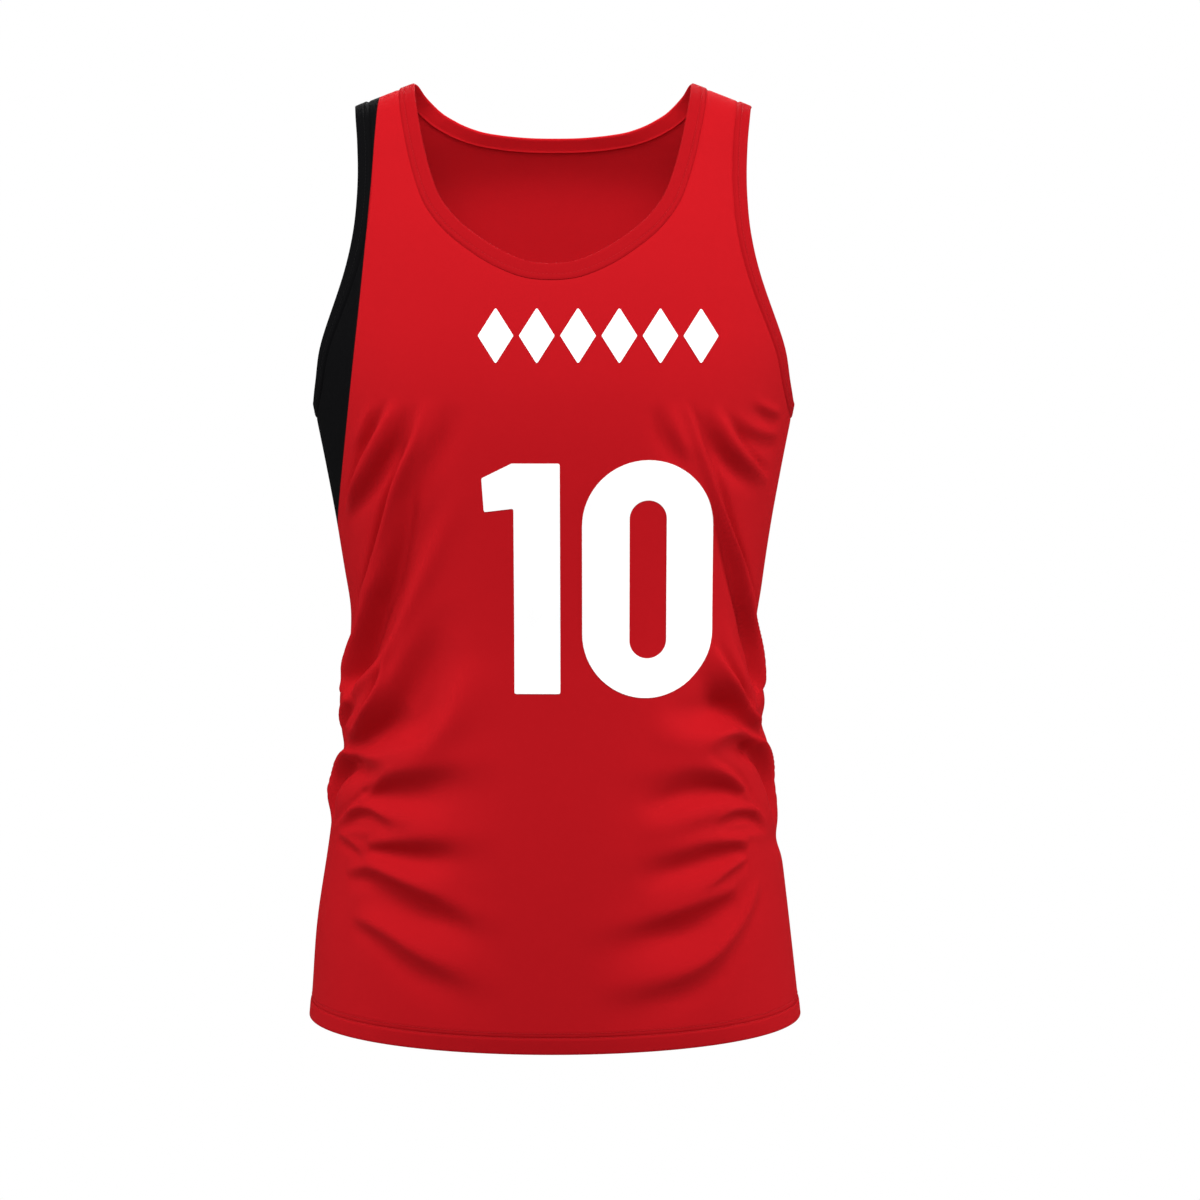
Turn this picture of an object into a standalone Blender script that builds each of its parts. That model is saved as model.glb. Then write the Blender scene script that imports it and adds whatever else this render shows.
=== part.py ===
"""A sleeveless basketball jersey, filled out as if worn, with nobody in it.

Metres, +Z up. The origin lies midway between the two points where the shoulder seams meet the
neck. The front faces -Y and the wearer's left side is at +X.

Every piece follows one smooth body of cloth. A place on that body is given by two numbers:
turn, the degrees round from the front centre (90 is the side seam, 180 the back centre), and
drop, the distance below the shoulder seam.
"""

from collections import namedtuple

import bpy
import numpy as np

PANEL_WALL = 0.0012
BAND_WALL = 0.0021
HEM_WALL = 0.0020
HEM_DEPTH = 0.014
HEM_STEP = 0.001
SEAM_GAP = 0.0003
BAND_CLEARANCE = 0.00042
BAND_EDGE_THINNING = 0.0006
NECKBAND_WIDTH = 0.0130
ARMHOLE_BAND_WIDTH = 0.0120

BODY_LENGTH = 0.743
NECK_HALF_WIDTH = 0.1106
SHOULDER_SLOPE = 0.42
SHOULDER_ROUND = 0.060
SLOPE_FADE = 0.080
NECK_CENTRE = (0.0, 0.0, -0.03)
ARMHOLE_CENTRE = (0.19, 0.0, -0.13)
FRONT_STRAP_FOOT = 0.078
BACK_STRAP_FOOT = 0.030

# A fold keeps a fifth of its lift at its ends, and loses the rest over its last third.
FOLD_END_LOSS = 0.8
FOLD_END_POWER = 3

UNDERARM_ROWS = 13
STRAP_ROWS = 6
BAND_COLUMNS = 3
ARMHOLE_BLEND_POWER = 3
FOLD_SAMPLES = 14
FINE_STEPS = 400
SHARP_DEGREES = 50
ROUNDING = 1e-6

JERSEY_RED = (0.62, 0.010, 0.014, 1.0)
CLOTH_ROUGHNESS = 0.62

# Half width and depths of the body of cloth at each drop. Squareness is the power of its outline:
# 2 is an ellipse and a higher number is boxier.
Section = namedtuple("Section", "drop half_width front_depth back_depth squareness")
SECTIONS = (
    Section(0.000, 0.1980, 0.000, 0.000, 2.40),
    Section(0.006, 0.1980, 0.025, 0.025, 2.40),
    Section(0.015, 0.1980, 0.038, 0.037, 2.40),
    Section(0.030, 0.1980, 0.050, 0.049, 2.40),
    Section(0.042, 0.1980, 0.058, 0.059, 2.40),
    Section(0.055, 0.1980, 0.064, 0.071, 2.40),
    Section(0.075, 0.1980, 0.074, 0.087, 2.40),
    Section(0.120, 0.1980, 0.095, 0.105, 2.40),
    Section(0.165, 0.1980, 0.109, 0.113, 2.40),
    Section(0.205, 0.1970, 0.117, 0.117, 2.40),
    Section(0.235, 0.1920, 0.120, 0.117, 2.40),
    Section(0.259, 0.1872, 0.120, 0.116, 2.40),
    Section(0.300, 0.1795, 0.117, 0.112, 2.35),
    Section(0.345, 0.1718, 0.112, 0.106, 2.30),
    Section(0.390, 0.1658, 0.108, 0.100, 2.30),
    Section(0.430, 0.1632, 0.106, 0.098, 2.30),
    Section(0.475, 0.1685, 0.107, 0.099, 2.30),
    Section(0.530, 0.1725, 0.110, 0.102, 2.30),
    Section(0.590, 0.1805, 0.114, 0.107, 2.25),
    Section(0.650, 0.1880, 0.117, 0.110, 2.20),
    Section(0.743, 0.1990, 0.119, 0.112, 2.02),
)

# The seams of the neckband and the armhole bands, from the centre or the shoulder outwards. Turn
# is counted from the centre of the panel that the seam is on, the front or the back.
SeamPoint = namedtuple("SeamPoint", "turn drop")
FRONT_NECK_SEAM = (
    SeamPoint(0.0, 0.1580),
    SeamPoint(5.5, 0.1562),
    SeamPoint(10.9, 0.1495),
    SeamPoint(18.5, 0.1340),
    SeamPoint(24.7, 0.1165),
    SeamPoint(28.9, 0.0985),
    SeamPoint(32.0, 0.0745),
    SeamPoint(34.3, 0.0485),
    SeamPoint(36.4, 0.0180),
    SeamPoint(37.6, 0.0000),
)
BACK_NECK_SEAM = (
    SeamPoint(0.0, 0.0580),
    SeamPoint(7.0, 0.0568),
    SeamPoint(13.5, 0.0532),
    SeamPoint(20.0, 0.0470),
    SeamPoint(26.0, 0.0375),
    SeamPoint(31.0, 0.0255),
    SeamPoint(34.8, 0.0115),
    SeamPoint(37.6, 0.0000),
)
FRONT_ARMHOLE_SEAM = (
    SeamPoint(46.9, 0.0000),
    SeamPoint(45.6, 0.0150),
    SeamPoint(44.5, 0.0420),
    SeamPoint(44.2, 0.0835),
    SeamPoint(45.7, 0.1196),
    SeamPoint(48.7, 0.1480),
    SeamPoint(54.4, 0.1800),
    SeamPoint(61.0, 0.2085),
    SeamPoint(68.5, 0.2360),
    SeamPoint(77.5, 0.2530),
    SeamPoint(90.0, 0.2590),
)
BACK_ARMHOLE_SEAM = (
    SeamPoint(46.9, 0.0000),
    SeamPoint(45.6, 0.0150),
    SeamPoint(44.9, 0.0420),
    SeamPoint(45.4, 0.0835),
    SeamPoint(47.6, 0.1196),
    SeamPoint(51.2, 0.1480),
    SeamPoint(57.0, 0.1800),
    SeamPoint(63.4, 0.2085),
    SeamPoint(70.3, 0.2360),
    SeamPoint(78.5, 0.2530),
    SeamPoint(90.0, 0.2590),
)

# How finely each panel is divided.
Grid = namedtuple("Grid", "lower_rows scoop_columns strap_columns")
FRONT_GRID = Grid(33, 12, 6)
BACK_GRID = Grid(25, 9, 4)

# Each fold is a smooth ridge (lift above 0) or trough (below 0) that runs through three places.
# A negative turn is on the wearer's right, and one past 90 goes on round the side to the back.
Fold = namedtuple("Fold", "turn_1 drop_1 turn_2 drop_2 turn_3 drop_3 half_width lift")
FOLDS = (
    # wearer's right side of the front, from the underarm down
    Fold(-44, 0.251, -53, 0.287, -72, 0.342, 0.010, 0.0030),
    Fold(-38, 0.251, -46, 0.285, -60, 0.322, 0.009, -0.0025),
    Fold(-32, 0.243, -45, 0.325, -84, 0.426, 0.011, 0.0042),
    Fold(-26, 0.255, -46, 0.366, -94, 0.445, 0.010, -0.0045),
    Fold(-25, 0.293, -40, 0.385, -56, 0.452, 0.012, 0.0035),
    Fold(-54, 0.446, -68, 0.478, -98, 0.486, 0.014, 0.0055),
    Fold(-30, 0.379, -43, 0.460, -64, 0.512, 0.010, -0.0040),
    Fold(-21, 0.432, -36, 0.485, -66, 0.519, 0.012, 0.0035),
    Fold(-64, 0.512, -80, 0.522, -100, 0.528, 0.009, -0.0045),
    Fold(-48, 0.520, -68, 0.532, -90, 0.556, 0.010, -0.0040),
    Fold(-46, 0.528, -64, 0.555, -98, 0.567, 0.014, 0.0068),
    Fold(-30, 0.523, -44, 0.537, -60, 0.553, 0.010, -0.0030),
    Fold(-44, 0.567, -62, 0.568, -98, 0.600, 0.010, -0.0040),
    Fold(-28, 0.583, -42, 0.584, -58, 0.592, 0.010, -0.0025),
    Fold(-66, 0.618, -45, 0.609, -19, 0.639, 0.012, -0.0030),
    Fold(-56, 0.648, -40, 0.657, -19, 0.690, 0.013, -0.0025),
    # wearer's left side of the front
    Fold(45, 0.256, 53, 0.283, 68, 0.318, 0.010, 0.0030),
    Fold(38, 0.248, 47, 0.277, 60, 0.314, 0.009, -0.0025),
    Fold(33, 0.247, 49, 0.321, 84, 0.408, 0.011, 0.0042),
    Fold(27, 0.252, 49, 0.350, 94, 0.430, 0.010, -0.0045),
    Fold(48, 0.405, 64, 0.450, 98, 0.466, 0.014, 0.0055),
    Fold(40, 0.435, 56, 0.472, 76, 0.498, 0.010, -0.0035),
    Fold(42, 0.512, 62, 0.504, 98, 0.528, 0.010, -0.0048),
    Fold(46, 0.530, 66, 0.524, 98, 0.540, 0.012, 0.0048),
    Fold(27, 0.536, 43, 0.534, 60, 0.549, 0.010, -0.0030),
    Fold(44, 0.571, 60, 0.566, 98, 0.600, 0.010, -0.0040),
    Fold(22, 0.592, 38, 0.588, 60, 0.589, 0.011, -0.0030),
    Fold(16, 0.642, 34, 0.637, 60, 0.617, 0.012, -0.0030),
    Fold(22, 0.692, 40, 0.677, 60, 0.641, 0.013, -0.0025),
    # back, wearer's left
    Fold(98, 0.436, 122, 0.366, 150, 0.285, 0.016, 0.0036),
    Fold(92, 0.465, 124, 0.404, 152, 0.322, 0.015, -0.0040),
    Fold(92, 0.500, 124, 0.452, 147, 0.395, 0.016, 0.0035),
    Fold(98, 0.528, 124, 0.503, 145, 0.462, 0.015, -0.0035),
    Fold(96, 0.560, 120, 0.548, 142, 0.535, 0.016, 0.0032),
    Fold(98, 0.600, 122, 0.590, 148, 0.606, 0.016, -0.0034),
    Fold(112, 0.648, 134, 0.646, 158, 0.676, 0.017, -0.0026),
    # back, wearer's right
    Fold(-94, 0.430, -120, 0.358, -149, 0.282, 0.016, 0.0036),
    Fold(-94, 0.462, -126, 0.398, -153, 0.315, 0.015, -0.0040),
    Fold(-94, 0.510, -126, 0.448, -148, 0.390, 0.016, 0.0034),
    Fold(-100, 0.528, -122, 0.497, -143, 0.455, 0.015, -0.0035),
    Fold(-96, 0.573, -118, 0.556, -140, 0.546, 0.016, 0.0032),
    Fold(-98, 0.600, -120, 0.598, -146, 0.618, 0.016, -0.0034),
    Fold(-110, 0.656, -130, 0.652, -155, 0.686, 0.017, -0.0026),
)


def clear_scene():
    for leftover in list(bpy.data.objects):
        bpy.data.objects.remove(leftover, do_unlink=True)


def smooth(places, values, at):
    """The value at each place of one smooth curve through unevenly spaced values."""
    slopes = np.gradient(values, places)
    at = np.clip(at, places[0], places[-1])
    index = np.clip(np.searchsorted(places, at, side="right") - 1, 0, len(places) - 2)
    span = places[index + 1] - places[index]
    part = (at - places[index]) / span
    low, high = values[index], values[index + 1]
    low_slope, high_slope = slopes[index] * span, slopes[index + 1] * span
    rise = 3 * part**2 - 2 * part**3
    bend = part * (1 - part)
    return low + (high - low) * rise + bend * ((1 - part) * low_slope - part * high_slope)


def column(name):
    return np.array([getattr(section, name) for section in SECTIONS])


def shoulder_line(across):
    """Height of the shoulder seam, which falls away from the neck."""
    at_neck = np.hypot(NECK_HALF_WIDTH, SHOULDER_ROUND)
    return SHOULDER_SLOPE * (at_neck - np.hypot(across, SHOULDER_ROUND))


def body_point(turn, drop_root):
    """The body of cloth at a turn and at the square root of a drop.

    The root runs evenly over the rounded shoulder: below 0 it goes on down the other side.
    """
    turn = np.where(drop_root < 0, 180.0 - turn, turn)
    drop = drop_root**2
    angle = np.radians(turn)
    half_width = smooth(column("drop"), column("half_width"), drop)
    squareness = smooth(column("drop"), column("squareness"), drop)
    front = smooth(column("drop"), column("front_depth") ** 2, drop)
    back = smooth(column("drop"), column("back_depth") ** 2, drop)
    facing = np.sign(np.cos(angle))
    depth_squared = np.where(facing > 0, front, back)
    share = np.abs(np.sin(angle)) ** squareness
    across = half_width * np.sin(angle)
    forward = facing * np.sqrt(np.maximum(depth_squared * (1 - share), 0.0))
    height = shoulder_line(across) * np.exp(-drop / SLOPE_FADE) - drop
    return np.stack([across, -forward, height], axis=-1)


def body_directions(turn, drop_root):
    """How the body's point moves with turn and with the root, and the normal that points out."""
    turn_step, root_step = 0.2, 0.0008
    along_turn = body_point(turn + turn_step, drop_root) - body_point(turn - turn_step, drop_root)
    along_root = body_point(turn, drop_root + root_step) - body_point(turn, drop_root - root_step)
    normal = np.cross(along_root, along_turn)
    normal /= np.linalg.norm(normal, axis=-1, keepdims=True)
    return along_turn / (2 * turn_step), along_root / (2 * root_step), normal


def fold_guides():
    """Each fold's line on the body, as points that a curve through its three places gives."""
    along = np.linspace(0, 1, FOLD_SAMPLES)
    first = (1 - along) * (1 - 2 * along)
    middle = 4 * along * (1 - along)
    last = along * (2 * along - 1)
    guides = []
    for fold in FOLDS:
        turn = first * fold.turn_1 + middle * fold.turn_2 + last * fold.turn_3
        drop = first * fold.drop_1 + middle * fold.drop_2 + last * fold.drop_3
        guides.append((fold, body_point(turn, np.sqrt(drop))))
    return guides


def fold_lift(points, guides):
    """How far the folds lift the cloth at each point of the body."""
    total = np.zeros(len(points))
    for fold, guide in guides:
        nearest = np.full(len(points), np.inf)
        where = np.zeros(len(points))
        for step, (start, end) in enumerate(zip(guide[:-1], guide[1:])):
            run = end - start
            part = np.clip((points - start) @ run / (run @ run), 0, 1)
            away = np.linalg.norm(points - start - part[:, None] * run, axis=1)
            where = np.where(away < nearest, (step + part) / (FOLD_SAMPLES - 1), where)
            nearest = np.minimum(nearest, away)
        fade = 1 - FOLD_END_LOSS * np.abs(2 * where - 1) ** FOLD_END_POWER
        total += fold.lift * fade * np.exp(-((nearest / fold.half_width) ** 2))
    return total


def cloth_points(turn, drop_root, guides):
    """Points on the middle of the cloth, folds and all, with the normals of its wall."""
    points = body_point(turn, drop_root)
    normals = body_directions(turn, drop_root)[2]
    return points + normals * fold_lift(points, guides)[:, None], normals


def seam_places(seam, steps, centred):
    """Turns and drop roots at even steps along a seam. A centred seam starts level."""
    rows = list(seam)
    if centred:
        rows.insert(0, SeamPoint(-rows[1].turn, rows[1].drop))
    turns = np.array([row.turn for row in rows])
    roots = np.sqrt([row.drop for row in rows])
    corners = body_point(turns, roots)
    lengths = np.linalg.norm(np.diff(corners, axis=0), axis=1)
    travelled = np.concatenate([[0], np.cumsum(lengths)])
    start = travelled[1] if centred else 0.0
    fine = np.linspace(start, travelled[-1], FINE_STEPS)
    turn, root = smooth(travelled, turns, fine), smooth(travelled, roots, fine)
    fine_lengths = np.linalg.norm(np.diff(body_point(turn, root), axis=0), axis=1)
    fine_travelled = np.concatenate([[0], np.cumsum(fine_lengths)])
    even = np.linspace(0, fine_travelled[-1], steps + 1)
    return np.interp(even, fine_travelled, turn), np.interp(even, fine_travelled, root)


def armhole_places(seam):
    """The armhole seam from the underarm up to the shoulder."""
    turn, root = seam_places(seam, UNDERARM_ROWS + STRAP_ROWS, False)
    return turn[::-1], root[::-1]


def neck_places(seam, strap_foot, scoop_columns):
    """The neck seam from the centre to the drop of the strap's foot, then up to the shoulder."""
    turn, root = seam_places(seam, FINE_STEPS, True)
    foot = int(np.argmin(np.abs(root**2 - strap_foot)))
    scoop = np.linspace(0, foot, scoop_columns + 1)
    strap = np.linspace(foot, FINE_STEPS, STRAP_ROWS + 1)[1:]
    steps = np.concatenate([scoop, strap])
    index = np.arange(FINE_STEPS + 1)
    return np.interp(steps, index, turn), np.interp(steps, index, root)


def closed_wall(name, points, normals, thickness, quads, material):
    """One closed solid: the quads moved out and in by half the wall, and joined at the edges."""
    half = normals * (thickness / 2)[:, None]
    count = len(points)
    corners = np.concatenate([points + half, points - half])
    faces = [tuple(quad) for quad in quads]
    edges = {(a, b) for quad in quads for a, b in zip(quad, quad[1:] + quad[:1])}
    faces += [tuple(corner + count for corner in reversed(quad)) for quad in quads]
    faces += [(b, a, a + count, b + count) for a, b in sorted(edges) if (b, a) not in edges]
    mesh = bpy.data.meshes.new(name)
    mesh.from_pydata(corners.tolist(), [], faces)
    mesh.validate()
    mesh.shade_smooth()
    mesh.set_sharp_from_angle(angle=np.radians(SHARP_DEGREES))
    mesh.materials.append(material)
    piece = bpy.data.objects.new(name, mesh)
    bpy.context.scene.collection.objects.link(piece)
    return piece


def half_panel_grid(neck, armhole, lower_rows, scoop_columns, strap_columns):
    """Turns and roots of one half of a panel, as a body block and a strap block.

    The body block has a row for each level, hem first, and a column for each place from the
    centre to the side. Its top row follows the scoop and then crosses the foot of the strap.
    """
    neck_turn, neck_root = neck
    arm_turn, arm_root = armhole
    arm_drop, neck_drop = arm_root**2, neck_root**2
    foot_turn = arm_turn[UNDERARM_ROWS]
    inner_share = neck_turn[scoop_columns] / foot_turn
    strap_share = np.linspace(0, 1, strap_columns + 1)
    share = np.concatenate(
        [neck_turn[:scoop_columns] / foot_turn, inner_share + (1 - inner_share) * strap_share]
    )
    foot_drops = neck_drop[scoop_columns] * (1 - strap_share) + arm_drop[UNDERARM_ROWS] * strap_share
    top_drop = np.concatenate([neck_drop[:scoop_columns], foot_drops])

    underarm = arm_drop[0]
    hem_top = BODY_LENGTH - HEM_DEPTH
    plain = np.linspace(hem_top - HEM_STEP, underarm, lower_rows)
    lower = np.concatenate([[BODY_LENGTH, BODY_LENGTH - HEM_DEPTH / 2, hem_top], plain])
    turns = [90.0 * share for _ in lower]
    drops = [np.full_like(share, drop) for drop in lower]
    edge_rise = (underarm - arm_drop) / (underarm - arm_drop[UNDERARM_ROWS])
    for row in range(1, UNDERARM_ROWS + 1):
        even_rise = row / UNDERARM_ROWS
        rise = even_rise + (edge_rise[row] - even_rise) * share**ARMHOLE_BLEND_POWER
        turns.append(share * arm_turn[row])
        drops.append(underarm + (top_drop - underarm) * rise)
    body = np.array(turns), np.sqrt(np.array(drops))

    strap_turn = neck_turn[scoop_columns:, None] * (1 - strap_share)
    strap_turn = strap_turn + arm_turn[UNDERARM_ROWS:, None] * strap_share
    strap_root = neck_root[scoop_columns:, None] * (1 - strap_share)
    strap_root = strap_root + arm_root[UNDERARM_ROWS:, None] * strap_share
    return body, (strap_turn, strap_root)


def panel(name, is_front, neck, armhole, grid, guides, material):
    """A front or a back: the body block and two straps, mirrored about the centre."""
    scoop_columns, strap_columns = grid.scoop_columns, grid.strap_columns
    body, strap = half_panel_grid(neck, armhole, grid.lower_rows, scoop_columns, strap_columns)
    half_columns = scoop_columns + strap_columns
    width = 2 * half_columns + 1
    body_turn = np.concatenate([-body[0][:, :0:-1], body[0]], axis=1)
    body_root = np.concatenate([body[1][:, :0:-1], body[1]], axis=1)
    rows = len(body_turn)
    turn, root = [body_turn.ravel()], [body_root.ravel()]
    quads = []
    for row in range(rows - 1):
        for col in range(width - 1):
            low, high = row * width + col, (row + 1) * width + col
            quad = [low, low + 1, high + 1, high]
            # a quad splits from its first corner to its third, and so leans as the folds do
            quads.append(quad if col < half_columns else quad[1:] + quad[:1])
    for side in (1, -1):
        first = sum(len(block) for block in turn)
        across = strap_columns + 1
        turn.append(side * strap[0][1:].ravel())
        root.append(strap[1][1:].ravel())
        foot = [(rows - 1) * width + half_columns + side * (scoop_columns + c) for c in range(across)]
        levels = [foot]
        levels += [[first + row * across + c for c in range(across)] for row in range(STRAP_ROWS)]
        for low, high in zip(levels[:-1], levels[1:]):
            for c in range(strap_columns):
                quad = [low[c + 1], high[c + 1], high[c], low[c]]
                quads.append(quad if side > 0 else quad[::-1])
    turn, root = np.concatenate(turn), np.concatenate(root)
    if not is_front:
        turn = 180.0 - turn
        quads = [quad[::-1] for quad in quads]
    points, normals = cloth_points(turn, root, guides)
    points[:, 1] += SEAM_GAP / 2 * (-1 if is_front else 1)
    in_hem = root**2 > BODY_LENGTH - HEM_DEPTH - ROUNDING
    thickness = np.where(in_hem, HEM_WALL, PANEL_WALL)
    return closed_wall(name, points, normals, thickness, quads, material)


def band(name, turn, root, opening_centre, width, guides, material):
    """A strip sewn round an opening, from just off its seam to its free edge."""
    places = body_point(turn, root)
    along_turn, along_root, normal = body_directions(turn, root)
    along = np.roll(places, -1, axis=0) - np.roll(places, 1, axis=0)
    inward = np.cross(normal, along)
    inward /= np.linalg.norm(inward, axis=1, keepdims=True)
    facing = np.sign(np.sum(inward * (opening_centre - places), axis=1))
    inward *= facing[:, None]
    # the same step written as a change of turn and of root
    turn_rate, root_rate = np.empty(len(turn)), np.empty(len(turn))
    for place in range(len(turn)):
        basis = np.stack([along_turn[place], along_root[place]], axis=1)
        turn_rate[place], root_rate[place] = np.linalg.lstsq(basis, inward[place], rcond=None)[0]
    distances = np.linspace(BAND_CLEARANCE, width, BAND_COLUMNS + 1)
    strip_turn = turn[:, None] + turn_rate[:, None] * distances
    strip_root = root[:, None] + root_rate[:, None] * distances
    points, normals = cloth_points(strip_turn.ravel(), strip_root.ravel(), guides)
    across = BAND_COLUMNS + 1
    share = np.tile(np.linspace(-1, 1, across), len(turn))
    thickness = BAND_WALL - BAND_EDGE_THINNING * share**2
    quads = []
    for place in range(len(turn)):
        here, after = place * across, (place + 1) % len(turn) * across
        quads += [[here + c, here + c + 1, after + c + 1, after + c] for c in range(BAND_COLUMNS)]
    first = points[quads[0]]
    outward = np.cross(first[1] - first[0], first[2] - first[1]) @ normals[0]
    if outward < 0:
        quads = [quad[::-1] for quad in quads]
    return closed_wall(name, points, normals, thickness, quads, material)


def cloth_material(name):
    material = bpy.data.materials.new(name)
    material.use_nodes = True
    shader = material.node_tree.nodes["Principled BSDF"]
    shader.inputs["Base Color"].default_value = JERSEY_RED
    shader.inputs["Roughness"].default_value = CLOTH_ROUGHNESS
    shader.inputs["Metallic"].default_value = 0.0
    return material


def armhole_ring(front, back, side):
    """The whole armhole seam: up the front, over the shoulder and down the back."""
    turn = np.concatenate([front[0], 180.0 - back[0][-2:0:-1]])
    root = np.concatenate([front[1], back[1][-2:0:-1]])
    return side * turn, root


def neck_ring(front, back):
    """The whole neck seam: round the front from right to left, then round the back."""
    turn = np.concatenate([-front[0][:0:-1], front[0], 180.0 - back[0][-2::-1]])
    turn = np.concatenate([turn, 180.0 + back[0][1:-1]])
    root = np.concatenate([front[1][:0:-1], front[1], back[1][-2::-1], back[1][1:-1]])
    return turn, root


def build():
    clear_scene()
    guides = fold_guides()
    front_neck = neck_places(FRONT_NECK_SEAM, FRONT_STRAP_FOOT, FRONT_GRID.scoop_columns)
    back_neck = neck_places(BACK_NECK_SEAM, BACK_STRAP_FOOT, BACK_GRID.scoop_columns)
    front_arm = armhole_places(FRONT_ARMHOLE_SEAM)
    back_arm = armhole_places(BACK_ARMHOLE_SEAM)
    front_cloth, back_cloth = cloth_material("front_cloth"), cloth_material("back_cloth")
    panel("front_panel", True, front_neck, front_arm, FRONT_GRID, guides, front_cloth)
    panel("back_panel", False, back_neck, back_arm, BACK_GRID, guides, back_cloth)
    turn, root = neck_ring(front_neck, back_neck)
    neck_cloth = cloth_material("neckband_cloth")
    band("neckband", turn, root, np.array(NECK_CENTRE), NECKBAND_WIDTH, guides, neck_cloth)
    for name, side in (("armhole_band_left", 1), ("armhole_band_right", -1)):
        turn, root = armhole_ring(front_arm, back_arm, side)
        centre = np.array(ARMHOLE_CENTRE) * (side, 1, 1)
        band(name, turn, root, centre, ARMHOLE_BAND_WIDTH, guides, cloth_material(name + "_cloth"))


build()
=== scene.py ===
import math
from collections import namedtuple

import bmesh
import bpy
import numpy as np
from mathutils.kdtree import KDTree
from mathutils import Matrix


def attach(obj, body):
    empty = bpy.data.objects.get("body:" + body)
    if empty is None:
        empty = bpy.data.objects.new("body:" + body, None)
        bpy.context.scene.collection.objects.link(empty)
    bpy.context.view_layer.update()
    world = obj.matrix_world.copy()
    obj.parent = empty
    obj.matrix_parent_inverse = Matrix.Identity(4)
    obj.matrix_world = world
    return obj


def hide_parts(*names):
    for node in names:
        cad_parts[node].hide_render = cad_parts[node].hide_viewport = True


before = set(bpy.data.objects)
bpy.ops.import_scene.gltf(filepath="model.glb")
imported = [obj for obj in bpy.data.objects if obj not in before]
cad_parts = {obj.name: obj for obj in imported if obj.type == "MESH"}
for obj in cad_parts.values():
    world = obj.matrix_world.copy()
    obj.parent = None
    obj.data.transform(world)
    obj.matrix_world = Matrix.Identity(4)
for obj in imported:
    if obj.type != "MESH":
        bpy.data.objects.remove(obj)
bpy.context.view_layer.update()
print("frame loaded with", len(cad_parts), "solids")

# The cloth is one smooth body. A place on it is a turn, the degrees round from the front centre
# (90 is the side seam, 180 the back centre), and the square root of the drop below the shoulder.
form = {
    "length": 0.743,
    "neckHalfWidth": 0.1106,
    "shoulderSlope": 0.42,
    "shoulderRound": 0.060,
    "slopeFade": 0.080,
}

Section = namedtuple("Section", "drop halfWidth frontDepth backDepth squareness")
sections = [Section(*row) for row in (
    (0.000, 0.1980, 0.000, 0.000, 2.40),
    (0.006, 0.1980, 0.025, 0.025, 2.40),
    (0.015, 0.1980, 0.038, 0.037, 2.40),
    (0.030, 0.1980, 0.050, 0.049, 2.40),
    (0.042, 0.1980, 0.058, 0.059, 2.40),
    (0.055, 0.1980, 0.064, 0.071, 2.40),
    (0.075, 0.1980, 0.074, 0.087, 2.40),
    (0.120, 0.1980, 0.095, 0.105, 2.40),
    (0.165, 0.1980, 0.109, 0.113, 2.40),
    (0.205, 0.1970, 0.117, 0.117, 2.40),
    (0.235, 0.1920, 0.120, 0.117, 2.40),
    (0.259, 0.1872, 0.120, 0.116, 2.40),
    (0.300, 0.1795, 0.117, 0.112, 2.35),
    (0.345, 0.1718, 0.112, 0.106, 2.30),
    (0.390, 0.1658, 0.108, 0.100, 2.30),
    (0.430, 0.1632, 0.106, 0.098, 2.30),
    (0.475, 0.1685, 0.107, 0.099, 2.30),
    (0.530, 0.1725, 0.110, 0.102, 2.30),
    (0.590, 0.1805, 0.114, 0.107, 2.25),
    (0.650, 0.1880, 0.117, 0.110, 2.20),
    (0.743, 0.1990, 0.119, 0.112, 2.02),
)]

# Seams from the centre or the shoulder outwards, with turns from the centre of their own panel.
SeamPoint = namedtuple("SeamPoint", "turn drop")


def seamLine(*places):
    return [SeamPoint(*place) for place in places]


frontNeckSeam = seamLine(
    (0.0, 0.1580), (5.5, 0.1562), (10.9, 0.1495), (18.5, 0.1340), (24.7, 0.1165), (28.9, 0.0985),
    (32.0, 0.0745), (34.3, 0.0485), (36.4, 0.0180), (37.6, 0.0000),
)
backNeckSeam = seamLine(
    (0.0, 0.0580), (7.0, 0.0568), (13.5, 0.0532), (20.0, 0.0470), (26.0, 0.0375), (31.0, 0.0255),
    (34.8, 0.0115), (37.6, 0.0000),
)
frontArmholeSeam = seamLine(
    (46.9, 0.0000), (45.6, 0.0150), (44.5, 0.0420), (44.2, 0.0835), (45.7, 0.1196),
    (48.7, 0.1480), (54.4, 0.1800), (61.0, 0.2085), (68.5, 0.2360), (77.5, 0.2530),
    (90.0, 0.2590),
)
backArmholeSeam = seamLine(
    (46.9, 0.0000), (45.6, 0.0150), (44.9, 0.0420), (45.4, 0.0835), (47.6, 0.1196),
    (51.2, 0.1480), (57.0, 0.1800), (63.4, 0.2085), (70.3, 0.2360), (78.5, 0.2530),
    (90.0, 0.2590),
)

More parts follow.
